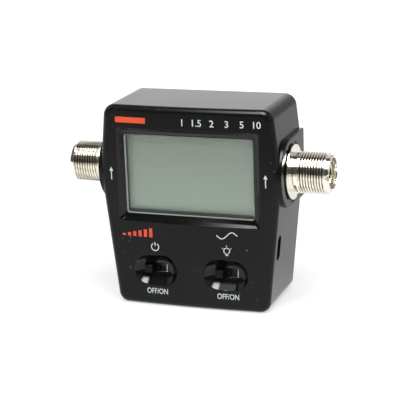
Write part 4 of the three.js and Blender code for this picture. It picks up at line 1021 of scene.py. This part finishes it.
def switch_can(name, x):
    """Can with its slot, a lug turned up at the slot's right end, and the base towards the board."""
    low, high = box_mm(f"{name}_switch_body")
    start, end = low[1] - FRONT, high[1] - FRONT
    can = slab_y(f"{name}_can", box_outline(low, high, 0.0, SWITCH_WALL), start, end, tin_plate)
    inner = box_outline(low, high, SWITCH_WALL)
    opening = rectangle(SLOT_HALF_LENGTH, SLOT_HALF_HEIGHT, x + SLOT_SHIFT, BOWL_Z)
    combine(can, [
        slab_y("inside", inner, start + SWITCH_WALL, end - SWITCH_WALL, tin_plate),
        slab_y("opening", opening, start - OVERRUN, start + SWITCH_WALL + OVERRUN / 2, tin_plate),
    ], "DIFFERENCE")
    lug_end = x + SLOT_SHIFT + SLOT_HALF_LENGTH
    lug = upright_rectangle(
        lug_end - LUG_THICKNESS, lug_end - FINE_EDGE, BOWL_Z - LUG_HALF, BOWL_Z + LUG_HALF, FINE_EDGE,
    )
    combine(can, [slab_y("lug", lug, start - LUG_HEIGHT, start + SWITCH_WALL / 2, tin_plate)], "UNION")
    base_start = end - SWITCH_WALL - BASE_THICKNESS
    base = slab_y(f"{name}_base", inner, base_start, end - SWITCH_WALL, hard_paper)
    for piece, edge in ((can, FINE_EDGE / 2), (base, FINE_EDGE)):
        declare(soften(piece, edge), f"{name}_switch_body")


for name, x in zip(("power", "light"), bowl_places):
    switch_lever(name)
    switch_can(name, x)


# Charging socket: a drawn steel shell with a rolled mouth behind the slot in the right side, and inside it
# the tongue with its row of gilded contacts on each face.
PORT_WALL = 0.35
PORT_BACK = 1.0
TONGUE_CORNER = 0.2
CONTACT_COUNT = 6
CONTACT_PITCH = 0.9
CONTACT_WIDTH = 0.35
CONTACT_PROUD = 0.03
CONTACT_CORNER = 0.05
tongue_low, tongue_high = box_mm("charge_socket_tongue")
port_shell = slab_x("port_shell", port_outline(), port_low[0], port_high[0], tin_plate)
port_inside = port_outline(-PORT_WALL)
combine(port_shell, [
    slab_x("port_inside", port_inside, port_low[0] + PORT_BACK, port_high[0] + OVERRUN, tin_plate),
], "DIFFERENCE")
declare(soften(port_shell, FINE_EDGE), "charge_socket_shell")

tongue_black = matter("tongue_black", (0.012, 0.012, 0.012), (0.02, 0.02, 0.02), 0.4)
gilding = matter("contact_gold", (0.75, 0.55, 0.22), (0.85, 0.66, 0.32), 0.22, 1.0)
tongue_middle, tongue_half = middle_mm("charge_socket_tongue"), (tongue_high - tongue_low) / 2
tongue_outline = rectangle(tongue_half[1], tongue_half[2], *tongue_middle[1:], TONGUE_CORNER)
tongue = slab_x("port_tongue", tongue_outline, tongue_low[0], tongue_high[0], tongue_black)
tongue_pieces = [soften(tongue, FINE_EDGE)]
contact_rows = (np.arange(CONTACT_COUNT) - (CONTACT_COUNT - 1) / 2) * CONTACT_PITCH + tongue_middle[2]
contact_ends = tongue_low[0] + CONTACT_WIDTH, tongue_high[0] - CONTACT_WIDTH
contact_half = tongue_half[1] + CONTACT_PROUD
for number, z in enumerate(contact_rows, 1):
    outline = rectangle(contact_half, CONTACT_WIDTH / 2, tongue_middle[1], z, CONTACT_CORNER)
    tongue_pieces.append(slab_x(f"port_contact_{number}", outline, *contact_ends, gilding))
for piece in tongue_pieces:
    declare(piece, "charge_socket_tongue")


# Boards, chips and battery: hidden in the case. They keep their CAD shapes and get the looks of solder
# mask, moulded epoxy, pouch foil, foam and insulated wire.
MASK_COLOUR = (0.008, 0.075, 0.030, 1.0)
TRACK_COLOUR = (0.020, 0.140, 0.055, 1.0)
TRACKS_PER_MM = 0.25
TRACK_STRETCH = (1.0, 1.0, 0.35)
TRACK_START = (0.44, 0.46)
TRACK_END = (0.54, 0.56)
TRACK_HEIGHT = 0.03
MASK_ROUGHNESS = 0.30
TRACK_ROUGHNESS = 0.08


def solder_mask():
    """Green lacquer over copper tracks that show a little lighter and higher: bands of a slow noise."""
    material, shader = new_material("solder_mask_green")
    field = object_noise(shader, TRACKS_PER_MM, NO_DETAIL, TRACK_STRETCH)
    track = field.steps(*TRACK_START) * (1.0 - field.steps(*TRACK_END))
    return principled(material, shader, {
        "Base Color": blended(shader, track, MASK_COLOUR, TRACK_COLOUR),
        "Roughness": MASK_ROUGHNESS + track * TRACK_ROUGHNESS, "Normal": bumped(shader, track, TRACK_HEIGHT),
    })


epoxy = matter("moulded_epoxy", (0.016, 0.016, 0.017), (0.026, 0.026, 0.027), 0.6, per_mm=4.0)
pouch_foil = matter(
    "pouch_foil", (0.40, 0.41, 0.43), (0.55, 0.56, 0.58), 0.35, 0.8, per_mm=0.5, depth=0.05,
)
foam = matter("foam_open", (0.025, 0.025, 0.025), (0.06, 0.06, 0.06), 0.95, per_mm=3.0, depth=0.12)
repaint(solder_mask(), "main_board", "coupler_board")
repaint(epoxy, "controller_chip", "board_chip", "board_link")
repaint(pouch_foil, "battery_cell")
repaint(foam, "battery_pad")
repaint(matter("plug_nylon", (0.70, 0.69, 0.63), (0.80, 0.79, 0.74), 0.45), "battery_plug")
repaint(matter("lead_red", (0.36, 0.02, 0.015), (0.46, 0.04, 0.03), 0.4), "battery_lead")


# Measuring line: a tinned tray between the two sockets holds a brass line, two ferrite rings wound with
# lacquered copper wire, and their small board.
brass = matter("brass_turned", (0.52, 0.38, 0.15), (0.64, 0.49, 0.23), 0.25, 1.0, stretch=(3.0, 0.2, 0.2))
ferrite = matter(
    "ferrite_fired", (0.025, 0.024, 0.024), (0.05, 0.048, 0.046), 0.55, per_mm=3.0, depth=0.03,
)
repaint(tin_plate, "coupler_tray")
repaint(brass, "through_line")
repaint(ferrite, "ferrite_core")
repaint(matter("copper_lacquered", (0.42, 0.12, 0.04), (0.58, 0.20, 0.07), 0.22, 0.9), "core_winding")


# Coaxial sockets: turned brass, nickel plated. A round flange lies in the recess of the boss, and a fine
# thread runs from the smooth shoulder to the nose, whose rim has four notches.
AROUND = 144
SOCKET_PITCH = 1.058
SOCKET_THREAD_DEPTH = 0.62
ROWS_PER_PITCH = 13
THREAD_CREST_SHARE = 0.28
SOCKET_ROOT, SOCKET_MOUTH = socket_low[0], socket_high[0]
FLANGE_RADIUS = (socket_high[2] - socket_low[2]) / 2
FLANGE_BACK = BOSS_FACE - BOSS_RECESS_DEPTH + SEAT_GAP
FLANGE_THICKNESS = 1.1
FLANGE_NOTCH_ANGLE = math.radians(-74)
FLANGE_NOTCH_HALF = math.radians(5)
FLANGE_NOTCH_SHARE = 0.45
SHOULDER_RADIUS = 7.5
SHOULDER_END = 3.5
NOSE_LENGTH = 1.8
THREAD_START = FLANGE_BACK + SHOULDER_END
THREAD_END = SOCKET_MOUTH - NOSE_LENGTH
NOSE_RADIUS = 7.1
NOSE_CHAMFER = 0.4
MOUTH_RADIUS = 6.0
MOUTH_DEPTH = 5.6
BORE_RADIUS = 4.9
NOTCH_DEPTH = 1.5
NOTCH_HALF_WIDTH = 0.9
TURNED_EDGE = 0.12
TURNED_EDGE_PARTS = 3
TURNED_EDGE_STEPS = 3
INSULATOR_HEAD = 1.4
INSULATOR_POST_RADIUS = 4.0
CONTACT_BORE_RADIUS = 2.0
CONTACT_BORE_DEPTH = 14.0
AXIS_HOLE = 0.15
SOLDER_PIN_RADIUS = 1.6
SOLDER_PIN_LENGTH = 2.2
contact_low, contact_high = box_mm("ant_socket_contact")
contact_radius = (contact_high[2] - contact_low[2]) / 2


def ring_solid(name, rows, material):
    """Closed ring-shaped solid through rows of as many points each, where the last row joins the first."""
    count, around = rows.shape[:2]
    faces = tube_faces(count + 1, around) % (count * around)
    return turned_out(link_mesh(name, rows.reshape(-1, 3), faces.tolist(), material))


def eased(profile):
    """Closed profile with a small curve in the place of each corner."""
    profile = np.asarray(profile, dtype=float)
    corners = zip(np.roll(profile, 1, 0), profile, np.roll(profile, -1, 0))
    return np.concatenate([
        eased_corner(*corner, TURNED_EDGE, TURNED_EDGE_PARTS, TURNED_EDGE_STEPS) for corner in corners
    ])


def densified(profile, radius, step):
    """Adds rows along the stretches that lie at the thread's radius."""
    following = np.roll(profile, -1, 0)
    threaded = np.isclose(profile[:, 1], radius) & np.isclose(following[:, 1], radius)
    rows = []
    for here, after, along in zip(profile, following, threaded):
        count = max(int(abs(after[0] - here[0]) / step), 1) if along else 1
        rows.append(np.linspace(here, after, count, endpoint=False))
    return np.concatenate(rows)


def smooth(value):
    """S curve from 0 to 1: three times the square less twice the cube."""
    value = np.clip(value, 0.0, 1.0)
    return value * value * (3 - 2 * value)


def thread_groove(along, angle, pitch, start, end):
    """Right-hand V thread, 0 on its flat crests and 1 in its roots, that fades in and out in its span. The
    angle counts right-handed about the direction in which the place along the axis grows."""
    across = abs(2 * np.mod(along / pitch - angle / (2 * math.pi), 1.0) - 1)
    groove = np.clip(1 - across / (1 - THREAD_CREST_SHARE), 0.0, 1.0)
    return groove * smooth((along - start) / pitch) * smooth((end - along) / (pitch / 2))


def angle_share(angle, middle, half):
    """1 at the middle angle, falling to 0 at half to both sides."""
    away = abs(np.mod(angle - middle + math.pi, 2 * math.pi) - math.pi)
    return np.clip(1 - away / half, 0.0, 1.0)


def turned(name, side, along, radius, angle, material):
    """Solid turned about the socket axis on the right (1) or left (-1)."""
    rows = np.stack([side * along, radius * np.cos(angle), SOCKET_Z + radius * np.sin(angle)], -1)
    return ring_solid(name, rows, material)


def turned_grid(profile):
    """Places along the axis, radii and angles of a turned solid, row by row."""
    angle = np.arange(AROUND) * 2 * math.pi / AROUND
    shape = (len(profile), AROUND)
    return (np.broadcast_to(values, shape).copy() for values in (profile[:, :1], profile[:, 1:], angle[None]))


NICKEL_BRIGHT = (0.84, 0.81, 0.72, 1.0)
NICKEL_HAZY = (0.76, 0.72, 0.62, 1.0)
# Painted shade in the roots of the thread: a dark brown.
NICKEL_ROOT_SHADE = (0.10, 0.08, 0.055, 1.0)
NICKEL_ROUGHNESS = 0.05
HAZE_PER_MM = 0.30
HAZE_START = (0.35, 0.70)
HAZE_ROUGHNESS = 0.07
LATHE_PER_MM = 6.0
LATHE_STRETCH = (1.0, 0.06, 0.06)
LATHE_DEPTH = 0.004
ROOT_SHADE_START = (0.30, 0.90)
ROOT_SHADE_SHARE = 0.70


def nickel_plate():
    """Nickel with fine lathe marks and hazy spots, and painted shade that darkens the roots of the thread."""
    material, shader = new_material("nickel_plate")
    root = shader.make("ShaderNodeAttribute", {"attribute_name": "groove"}, output="Fac")
    haze = object_noise(shader, HAZE_PER_MM, FINE_DETAIL)
    lathe = object_noise(shader, LATHE_PER_MM, DETAIL, LATHE_STRETCH)
    tone = blended(shader, haze.steps(*HAZE_START), NICKEL_BRIGHT, NICKEL_HAZY)
    # Painted shade: the deeper a point lies in the groove, the more of the dark root tone it gets.
    tone = blended(shader, root.steps(*ROOT_SHADE_START) * ROOT_SHADE_SHARE, tone, NICKEL_ROOT_SHADE)
    return principled(material, shader, {
        "Base Color": tone, "Roughness": NICKEL_ROUGHNESS + haze * HAZE_ROUGHNESS, "Metallic": 1.0,
        "Normal": bumped(shader, lathe, LATHE_DEPTH),
    })


nickel = nickel_plate()
steel = matter("steel_zinc_plated", (0.42, 0.42, 0.43), (0.56, 0.56, 0.56), 0.32, 1.0)
fluoroplastic = matter("fluoroplastic_white", (0.74, 0.73, 0.69), (0.82, 0.81, 0.78), 0.35)
FLANGE_FACE = FLANGE_BACK + FLANGE_THICKNESS
MOUTH_END = SOCKET_MOUTH - MOUTH_DEPTH
SHELL_PROFILE = [
    (SOCKET_ROOT, BORE_RADIUS), (SOCKET_ROOT, THREAD_RADIUS), (FLANGE_BACK, THREAD_RADIUS),
    (FLANGE_BACK, FLANGE_RADIUS), (FLANGE_FACE, FLANGE_RADIUS), (FLANGE_FACE, SHOULDER_RADIUS),
    (THREAD_START, SHOULDER_RADIUS), (THREAD_START, THREAD_RADIUS), (THREAD_END, THREAD_RADIUS),
    (THREAD_END, NOSE_RADIUS), (SOCKET_MOUTH - NOSE_CHAMFER, NOSE_RADIUS),
    (SOCKET_MOUTH, NOSE_RADIUS - NOSE_CHAMFER), (SOCKET_MOUTH, MOUTH_RADIUS), (MOUTH_END, MOUTH_RADIUS),
    (MOUTH_END, BORE_RADIUS),
]
THREADED_SPANS = [(SOCKET_ROOT, FLANGE_BACK), (THREAD_START, THREAD_END)]


def socket_shell(name, side):
    """Threaded body with its flange: the profile turned about the axis, less the groove of the thread, a
    notch in the flange, and four notches that push the rim of the nose back."""
    profile = densified(eased(SHELL_PROFILE), THREAD_RADIUS, SOCKET_PITCH / ROWS_PER_PITCH)
    along, radius, angle = turned_grid(profile)
    outside = np.isclose(radius, THREAD_RADIUS)
    groove = np.zeros(radius.shape)
    for start, end in THREADED_SPANS:
        threaded = outside & (along > start) & (along < end)
        groove += np.where(threaded, thread_groove(along, side * angle, SOCKET_PITCH, start, end), 0.0)
    radius -= groove * SOCKET_THREAD_DEPTH
    notch = angle_share(angle, FLANGE_NOTCH_ANGLE, FLANGE_NOTCH_HALF) * FLANGE_NOTCH_SHARE
    radius -= np.where(radius > THREAD_RADIUS + TURNED_EDGE, (radius - THREAD_RADIUS) * notch, 0.0)
    half_angle = NOTCH_HALF_WIDTH / MOUTH_RADIUS
    cut = sum(angle_share(angle, turn * math.pi / 2, half_angle) for turn in range(4)) * NOTCH_DEPTH
    along -= np.clip((along - THREAD_END) / (SOCKET_MOUTH - THREAD_END), 0.0, 1.0) * cut
    shell = turned(f"{name}_shell", side, along, radius, angle, nickel)
    shade = shell.data.attributes.new("groove", "FLOAT", "POINT")
    shade.data.foreach_set("value", groove.ravel().astype(np.float32))
    return shell


def socket_insulator(name, side):
    """White plug with a wide head in the mouth and a narrower post round the contact."""
    low, high = box_mm("ant_socket_insulator")
    head_radius = (high[2] - low[2]) / 2
    shelf = MOUTH_END + SEAT_GAP
    head_end = shelf + INSULATOR_HEAD
    hole, inner = contact_radius + SEAT_GAP, BORE_RADIUS - SEAT_GAP
    profile = eased([
        (low[0], hole), (low[0], inner), (shelf, inner), (shelf, head_radius), (head_end, head_radius),
        (head_end, INSULATOR_POST_RADIUS), (high[0], INSULATOR_POST_RADIUS), (high[0], hole),
    ])
    return turned(f"{name}_insulator", side, *turned_grid(profile), fluoroplastic)


def socket_contact(name, side):
    """Brass pin that is solid at its solder end and bored at its open end."""
    root, mouth = contact_low[0], contact_high[0]
    neck, bore_end = root + SOLDER_PIN_LENGTH, mouth - CONTACT_BORE_DEPTH
    profile = eased([
        (root, AXIS_HOLE), (root, SOLDER_PIN_RADIUS), (neck, SOLDER_PIN_RADIUS), (neck, contact_radius),
        (mouth, contact_radius), (mouth, CONTACT_BORE_RADIUS), (bore_end, CONTACT_BORE_RADIUS),
        (bore_end, AXIS_HOLE),
    ])
    return turned(f"{name}_contact", side, *turned_grid(profile), brass)


for name, side in (("ant", 1), ("tx", -1)):
    turned_pieces = {
        "shell": (socket_shell(name, side), "nickel"),
        "insulator": (socket_insulator(name, side), "white_plastic"),
        "contact": (socket_contact(name, side), "brass"),
    }
    for part, (piece, finish) in turned_pieces.items():
        declare(soften(piece, 0.0), f"{name}_socket_{part}")
    repaint(nickel, f"{name}_socket_nut")
    repaint(steel, f"{name}_lock_washer")


# Rear cover: a plain black moulding in the opening of the case, with a locating lip, and bosses over the
# posts whose counterbores take the screw heads.
COVER_GAP = WALL + SEAT_GAP
COVER_EDGE = 0.3
COVER_EDGE_STEPS = 4
COVER_THICKNESS = 2.0
LIP_INSET = 1.0
LIP_THICKNESS = 1.2
LIP_HEIGHT = 1.6
COVER_BOSS_RADIUS = 3.4
COUNTERBORE_RADIUS = 2.5
COUNTERBORE_DEPTH = 3.4


def outline_prism(name, steps):
    """Closed solid inside the housing's outline, from pairs of an inset and a depth."""
    return stacked(name, [outline_ring(inset, depth) for inset, depth in steps], black_abs)


cover_start = box_mm("rear_cover")[0][1] - FRONT
plate_start = DEPTH - COVER_THICKNESS
cover_rim = [(COVER_GAP + step_in, DEPTH - step_back)
             for step_in, step_back in rounded(COVER_EDGE, COVER_EDGE_STEPS)[::-1]]
cover = outline_prism("cover", [(COVER_GAP, plate_start), *cover_rim])
lip_inset, lip_start = COVER_GAP + LIP_INSET, plate_start - LIP_HEIGHT
lip = outline_prism("lip", [(lip_inset, lip_start), (lip_inset, plate_start)])
lip_inside = outline_prism("lip_inside", [
    (lip_inset + LIP_THICKNESS, lip_start - OVERRUN), (lip_inset + LIP_THICKNESS, plate_start),
])
combine(lip, [lip_inside], "DIFFERENCE")
limit_inset, boss_end = COVER_GAP + COVER_EDGE, plate_start + OVERRUN
bosses = []
for place in screw_centres:
    limit = outline_prism("limit", [(limit_inset, cover_start), (limit_inset, boss_end)])
    boss = post(place, COVER_BOSS_RADIUS, boss_end + SOFT_EDGE, cover_start - SOFT_EDGE)
    bosses.append(combine(boss, [limit], "INTERSECT"))
combine(cover, [lip, *bosses], "UNION")
seat, hole_start = DEPTH - COUNTERBORE_DEPTH, cover_start - OVERRUN
holes = [post(place, COUNTERBORE_RADIUS, DEPTH + OVERRUN, seat) for place in screw_centres]
holes += [post(place, CASE_PILOT_RADIUS, seat + OVERRUN / 2, hole_start) for place in screw_centres]
combine(cover, holes, "DIFFERENCE")
declare(soften(cover, FINE_EDGE), "rear_cover")


# Screws: zinc-plated steel, each with a domed head, a cross recess and a rolled thread. Four hold the cover,
# three the main board and two the coupler board.
SCREW_AROUND = 40
SCREW_ROWS_PER_PITCH = 8
SCREW_PITCH = 0.8
SCREW_THREAD_SHARE = 0.28
SCREW_TIP = 0.9
SCREW_TIP_SHARE = 0.3
HEAD_DOME_SHARE = 0.35
HEAD_FLAT_SHARE = 0.45
CROSS_LENGTH_SHARE = 0.55
CROSS_WIDTH_SHARE = 0.13
CROSS_FOOT_SHARE = 0.6
CROSS_DEPTH_SHARE = 0.6
SCREW_FORMS = {
    "case_screw": {"count": CASE_SCREWS, "head": 1.5, "shank": 1.0},
    "board_screw": {"count": BOARD_SCREWS, "head": 1.2, "shank": 0.8},
    "coupler_screw": {"count": 2, "head": 1.0, "shank": 0.8},
}


def cross_ring(x, z, long, narrow, depth):
    """Outline of a cross at a depth: one corner between two arms, turned four times."""
    corner = np.array([(long, narrow), (narrow, narrow), (narrow, long)])
    quarter_turn = [[0, 1], [-1, 0]]
    outline = [corner @ np.linalg.matrix_power(quarter_turn, turn) for turn in range(4)]
    return along_y(np.concatenate(outline) + [x, z], depth)


def screw(node, head_height, shank_radius):
    """Screw along the depth, with its head towards the rear: a profile of a tip, a shank, a flat under the
    head and a dome, turned about its axis, less the groove of the thread."""
    low, high = box_mm(node)
    x, _, z = middle_mm(node)
    head_radius, end, tip = (high[0] - low[0]) / 2, high[1] - FRONT, low[1] - FRONT
    head = end - head_height
    shank = np.linspace(tip + SCREW_TIP, head, int((head - tip) / SCREW_PITCH * SCREW_ROWS_PER_PITCH))
    dome = np.linspace(0.0, math.pi / 2, EDGE_STEPS)
    dome_height = head_height * HEAD_DOME_SHARE
    depths = np.concatenate([[tip], shank, [head], end - dome_height + dome_height * np.sin(dome)])
    radii = np.concatenate([
        [shank_radius * SCREW_TIP_SHARE], np.full(len(shank), shank_radius), [head_radius],
        head_radius * (HEAD_FLAT_SHARE + (1 - HEAD_FLAT_SHARE) * np.cos(dome)),
    ])[:, None]
    angle = np.arange(SCREW_AROUND) * 2 * math.pi / SCREW_AROUND
    groove = thread_groove(-depths[:, None], angle[None], SCREW_PITCH, -head, -tip)
    radius = radii * (1 - SCREW_THREAD_SHARE * np.where(radii > shank_radius, 0.0, groove))
    place = np.broadcast_to(FRONT + depths[:, None], radius.shape)
    rings = np.stack([x + radius * np.cos(angle), place, z + radius * np.sin(angle)], -1)
    piece = loft(f"{node}_turned", rings, steel)
    long, narrow = head_radius * CROSS_LENGTH_SHARE, head_radius * CROSS_WIDTH_SHARE
    recess_end = end - head_height * CROSS_DEPTH_SHARE
    recess = loft("recess", [
        cross_ring(x, z, long, narrow, end + OVERRUN / 4),
        cross_ring(x, z, long * CROSS_FOOT_SHARE, narrow * CROSS_FOOT_SHARE, recess_end),
    ], steel)
    combine(piece, [recess], "DIFFERENCE")
    declare(soften(piece, 0.0), node)


for kind, form in SCREW_FORMS.items():
    for number in range(1, form["count"] + 1):
        screw(f"{kind}_{number}", form["head"], form["shank"])


# Printed marks: white and orange ink on the face, a thin film that follows its crown. A bar, a scale of
# numbers, rising bars, a wave, the signs over the two switches and the words under them.
INK_PROUD = 0.012
INK_SUNK = 0.010
INK_STEP = 1.5
LETTER_BOLD = 0.006
LETTER_THICKNESS = 0.5
LETTER_CURVE_STEPS = 4
LETTER_WELD = 1e-4
ARC_STEPS = 28
white_ink = matter("ink_white", (0.44, 0.50, 0.50), (0.52, 0.58, 0.58), 0.5)
orange_ink = matter("ink_orange", (0.54, 0.045, 0.010), (0.62, 0.060, 0.014), 0.5)


def on_face(name, outline, material):
    """Closed film over an outline in x and z, that lies on the crowned face."""
    rings = [along_y(outline, crown(outline[:, 0]) + step) for step in (-INK_PROUD, INK_SUNK)]
    count = len(outline)
    faces = tube_faces(2, count).tolist() + [list(range(count)), list(range(2 * count - 1, count - 1, -1))]
    film = turned_out(link_mesh(name, np.concatenate(rings), faces, material))
    return declare(film, "front_case")


def stroke(name, points, width):
    """White line along points in x and z, with half its width to each side of its course."""
    points = np.asarray(points, dtype=float)
    course = np.gradient(points, axis=0)
    course /= np.linalg.norm(course, axis=1, keepdims=True)
    aside = course[:, ::-1] * [-1, 1] * width / 2
    return on_face(name, np.concatenate([points + aside, (points - aside)[::-1]]), white_ink)


def bar(name, left, right, foot, top):
    """Orange bar, in steps along x so that it follows the crown."""
    x = np.linspace(left, right, max(int((right - left) / INK_STEP), 1) + 1)
    edge = np.column_stack([x, np.full(len(x), foot)])
    return on_face(name, np.concatenate([edge, edge[::-1] + [0, top - foot]]), orange_ink)


def word(name, text, height, x, z, width=None):
    """White numbers or words in the plain built-in face, fitted to a height about a place, and to a width
    where one is given. Their front and back are moved onto the crowned face."""
    curve = bpy.data.curves.new(name, "FONT")
    curve.body = text
    curve.extrude = LETTER_THICKNESS
    curve.offset = LETTER_BOLD
    curve.resolution_u = LETTER_CURVE_STEPS
    source = bpy.data.objects.new(name, curve)
    bpy.context.scene.collection.objects.link(source)
    mesh = bpy.data.meshes.new_from_object(source.evaluated_get(bpy.context.evaluated_depsgraph_get()))
    bpy.data.objects.remove(source)
    edit = bmesh.new()
    edit.from_mesh(mesh)
    bmesh.ops.remove_doubles(edit, verts=edit.verts, dist=LETTER_WELD)
    edit.to_mesh(mesh)
    edit.free()
    flat = np.empty(len(mesh.vertices) * 3, dtype=np.float32)
    mesh.vertices.foreach_get("co", flat)
    u, v, w = flat.reshape(-1, 3).T
    tall = height / np.ptp(v)
    wide = width / np.ptp(u) if width else tall
    u = x + (u - (u.min() + u.max()) / 2) * wide
    v = z + (v - (v.min() + v.max()) / 2) * tall
    depth = FRONT + crown(u) + np.where(w > 0, -INK_PROUD, INK_SUNK)
    mesh.vertices.foreach_set("co", (np.column_stack([u, depth, v]) * MM).astype(np.float32).ravel())
    mesh.materials.clear()
    mesh.materials.append(white_ink)
    piece = bpy.data.objects.new(name, mesh)
    bpy.context.scene.collection.objects.link(piece)
    return declare(turned_out(piece), "front_case")


def arc(radius, start, end, x, z, steps=ARC_STEPS):
    """Points on a circle, by angles in degrees."""
    angle = np.radians(np.linspace(start, end, steps + 1))
    return np.column_stack([x + radius * np.cos(angle), z + radius * np.sin(angle)])


# The bar at the upper left and the scale at the upper right.
TITLE_Z = 73.3
TITLE_BAR = {"left": -28.2, "right": -15.8, "half_height": 1.1}
SCALE_NUMBERS = ("1", "1.5", "2", "3", "5", "10")
SCALE_ENDS = (-1.0, 27.9)
NUMBER_HEIGHT = 2.6
bar("title_bar", TITLE_BAR["left"], TITLE_BAR["right"],
    TITLE_Z - TITLE_BAR["half_height"], TITLE_Z + TITLE_BAR["half_height"])
for text, place in zip(SCALE_NUMBERS, np.linspace(*SCALE_ENDS, len(SCALE_NUMBERS))):
    word(f"scale_{text.replace('.', '_')}", text, NUMBER_HEIGHT, place, TITLE_Z)

# The rising bars and the wave under the window.
RISING = {"count": 6, "ends": (-27.4, -16.2), "width": 1.3, "foot": 27.7, "top": 28.5, "step": 0.55}
WAVE = {"x": 15.1, "z": 30.4, "scale": 1.3, "steps": 32, "width": 0.35}
for number, left in enumerate(np.linspace(*RISING["ends"], RISING["count"])):
    top = RISING["top"] + number * RISING["step"]
    bar(f"rising_{number + 1}", left, left + RISING["width"], RISING["foot"], top)
turn = np.linspace(-math.pi, math.pi, WAVE["steps"] + 1)
wave = np.column_stack([WAVE["x"] + turn * WAVE["scale"], WAVE["z"] + np.sin(turn) * WAVE["scale"]])
stroke("wave", wave, WAVE["width"])

# The power sign: a ring with a gap at its top, and a short line in the gap.
SIGN_Z = 24.0
POWER_X = -14.0
POWER_RING = {"radius": 1.5, "start": 125, "end": 415, "width": 0.35}
POWER_LINE = {"foot": 0.3, "top": 1.9, "width": 0.35}
ring = arc(POWER_RING["radius"], POWER_RING["start"], POWER_RING["end"], POWER_X, SIGN_Z)
stroke("power_ring", ring, POWER_RING["width"])
line = [(POWER_X, SIGN_Z + POWER_LINE["foot"]), (POWER_X, SIGN_Z + POWER_LINE["top"])]
stroke("power_bar", line, POWER_LINE["width"])

# The lamp sign: a bulb that is open at its foot, two lines for its cap and three rays.
LAMP_X = 14.9
LAMP_Z = SIGN_Z + 0.4
LAMP_BULB = {"radius": 1.15, "start": -60, "end": 240, "width": 0.3}
LAMP_CAP = {"drops": (0.85, 1.35), "half_length": 0.55, "width": 0.28}
LAMP_RAYS = {"angles": (30, 90, 150), "start": 1.6, "end": 2.15, "width": 0.28}
bulb = arc(LAMP_BULB["radius"], LAMP_BULB["start"], LAMP_BULB["end"], LAMP_X, LAMP_Z)
stroke("lamp_bulb", bulb, LAMP_BULB["width"])
for number, drop in enumerate(LAMP_CAP["drops"], 1):
    ends = [(LAMP_X + side * LAMP_CAP["half_length"], SIGN_Z - drop) for side in (-1, 1)]
    stroke(f"lamp_foot_{number}", ends, LAMP_CAP["width"])
for number, turn in enumerate(LAMP_RAYS["angles"], 1):
    ray = [arc(LAMP_RAYS[end], turn, turn, LAMP_X, LAMP_Z, 0)[0] for end in ("start", "end")]
    stroke(f"lamp_ray_{number}", ray, LAMP_RAYS["width"])

# The words under the switches and an arrow beside each socket.
LEGEND_Z = 6.15
LEGEND_WIDTH = 8.6
LEGEND_HEIGHT = 2.2
LEGEND_PLACES = {"power": -13.8, "light": 14.9}
ARROW_PLACES = {"left": -30.9, "right": 30.6}
ARROW_SHAFT = {"foot": 49.6, "top": 53.2, "width": 0.4}
ARROW_HEAD = {"foot": 53.0, "top": 54.6, "half_width": 0.8}
for name, x in LEGEND_PLACES.items():
    word(f"{name}_off_on", "OFF/ON", LEGEND_HEIGHT, x, LEGEND_Z, LEGEND_WIDTH)
for name, x in ARROW_PLACES.items():
    stroke(f"arrow_shaft_{name}", [(x, ARROW_SHAFT["foot"]), (x, ARROW_SHAFT["top"])], ARROW_SHAFT["width"])
    foot = [(x + side * ARROW_HEAD["half_width"], ARROW_HEAD["foot"]) for side in (-1, 1)]
    on_face(f"arrow_head_{name}", np.array([*foot, (x, ARROW_HEAD["top"])]), white_ink)
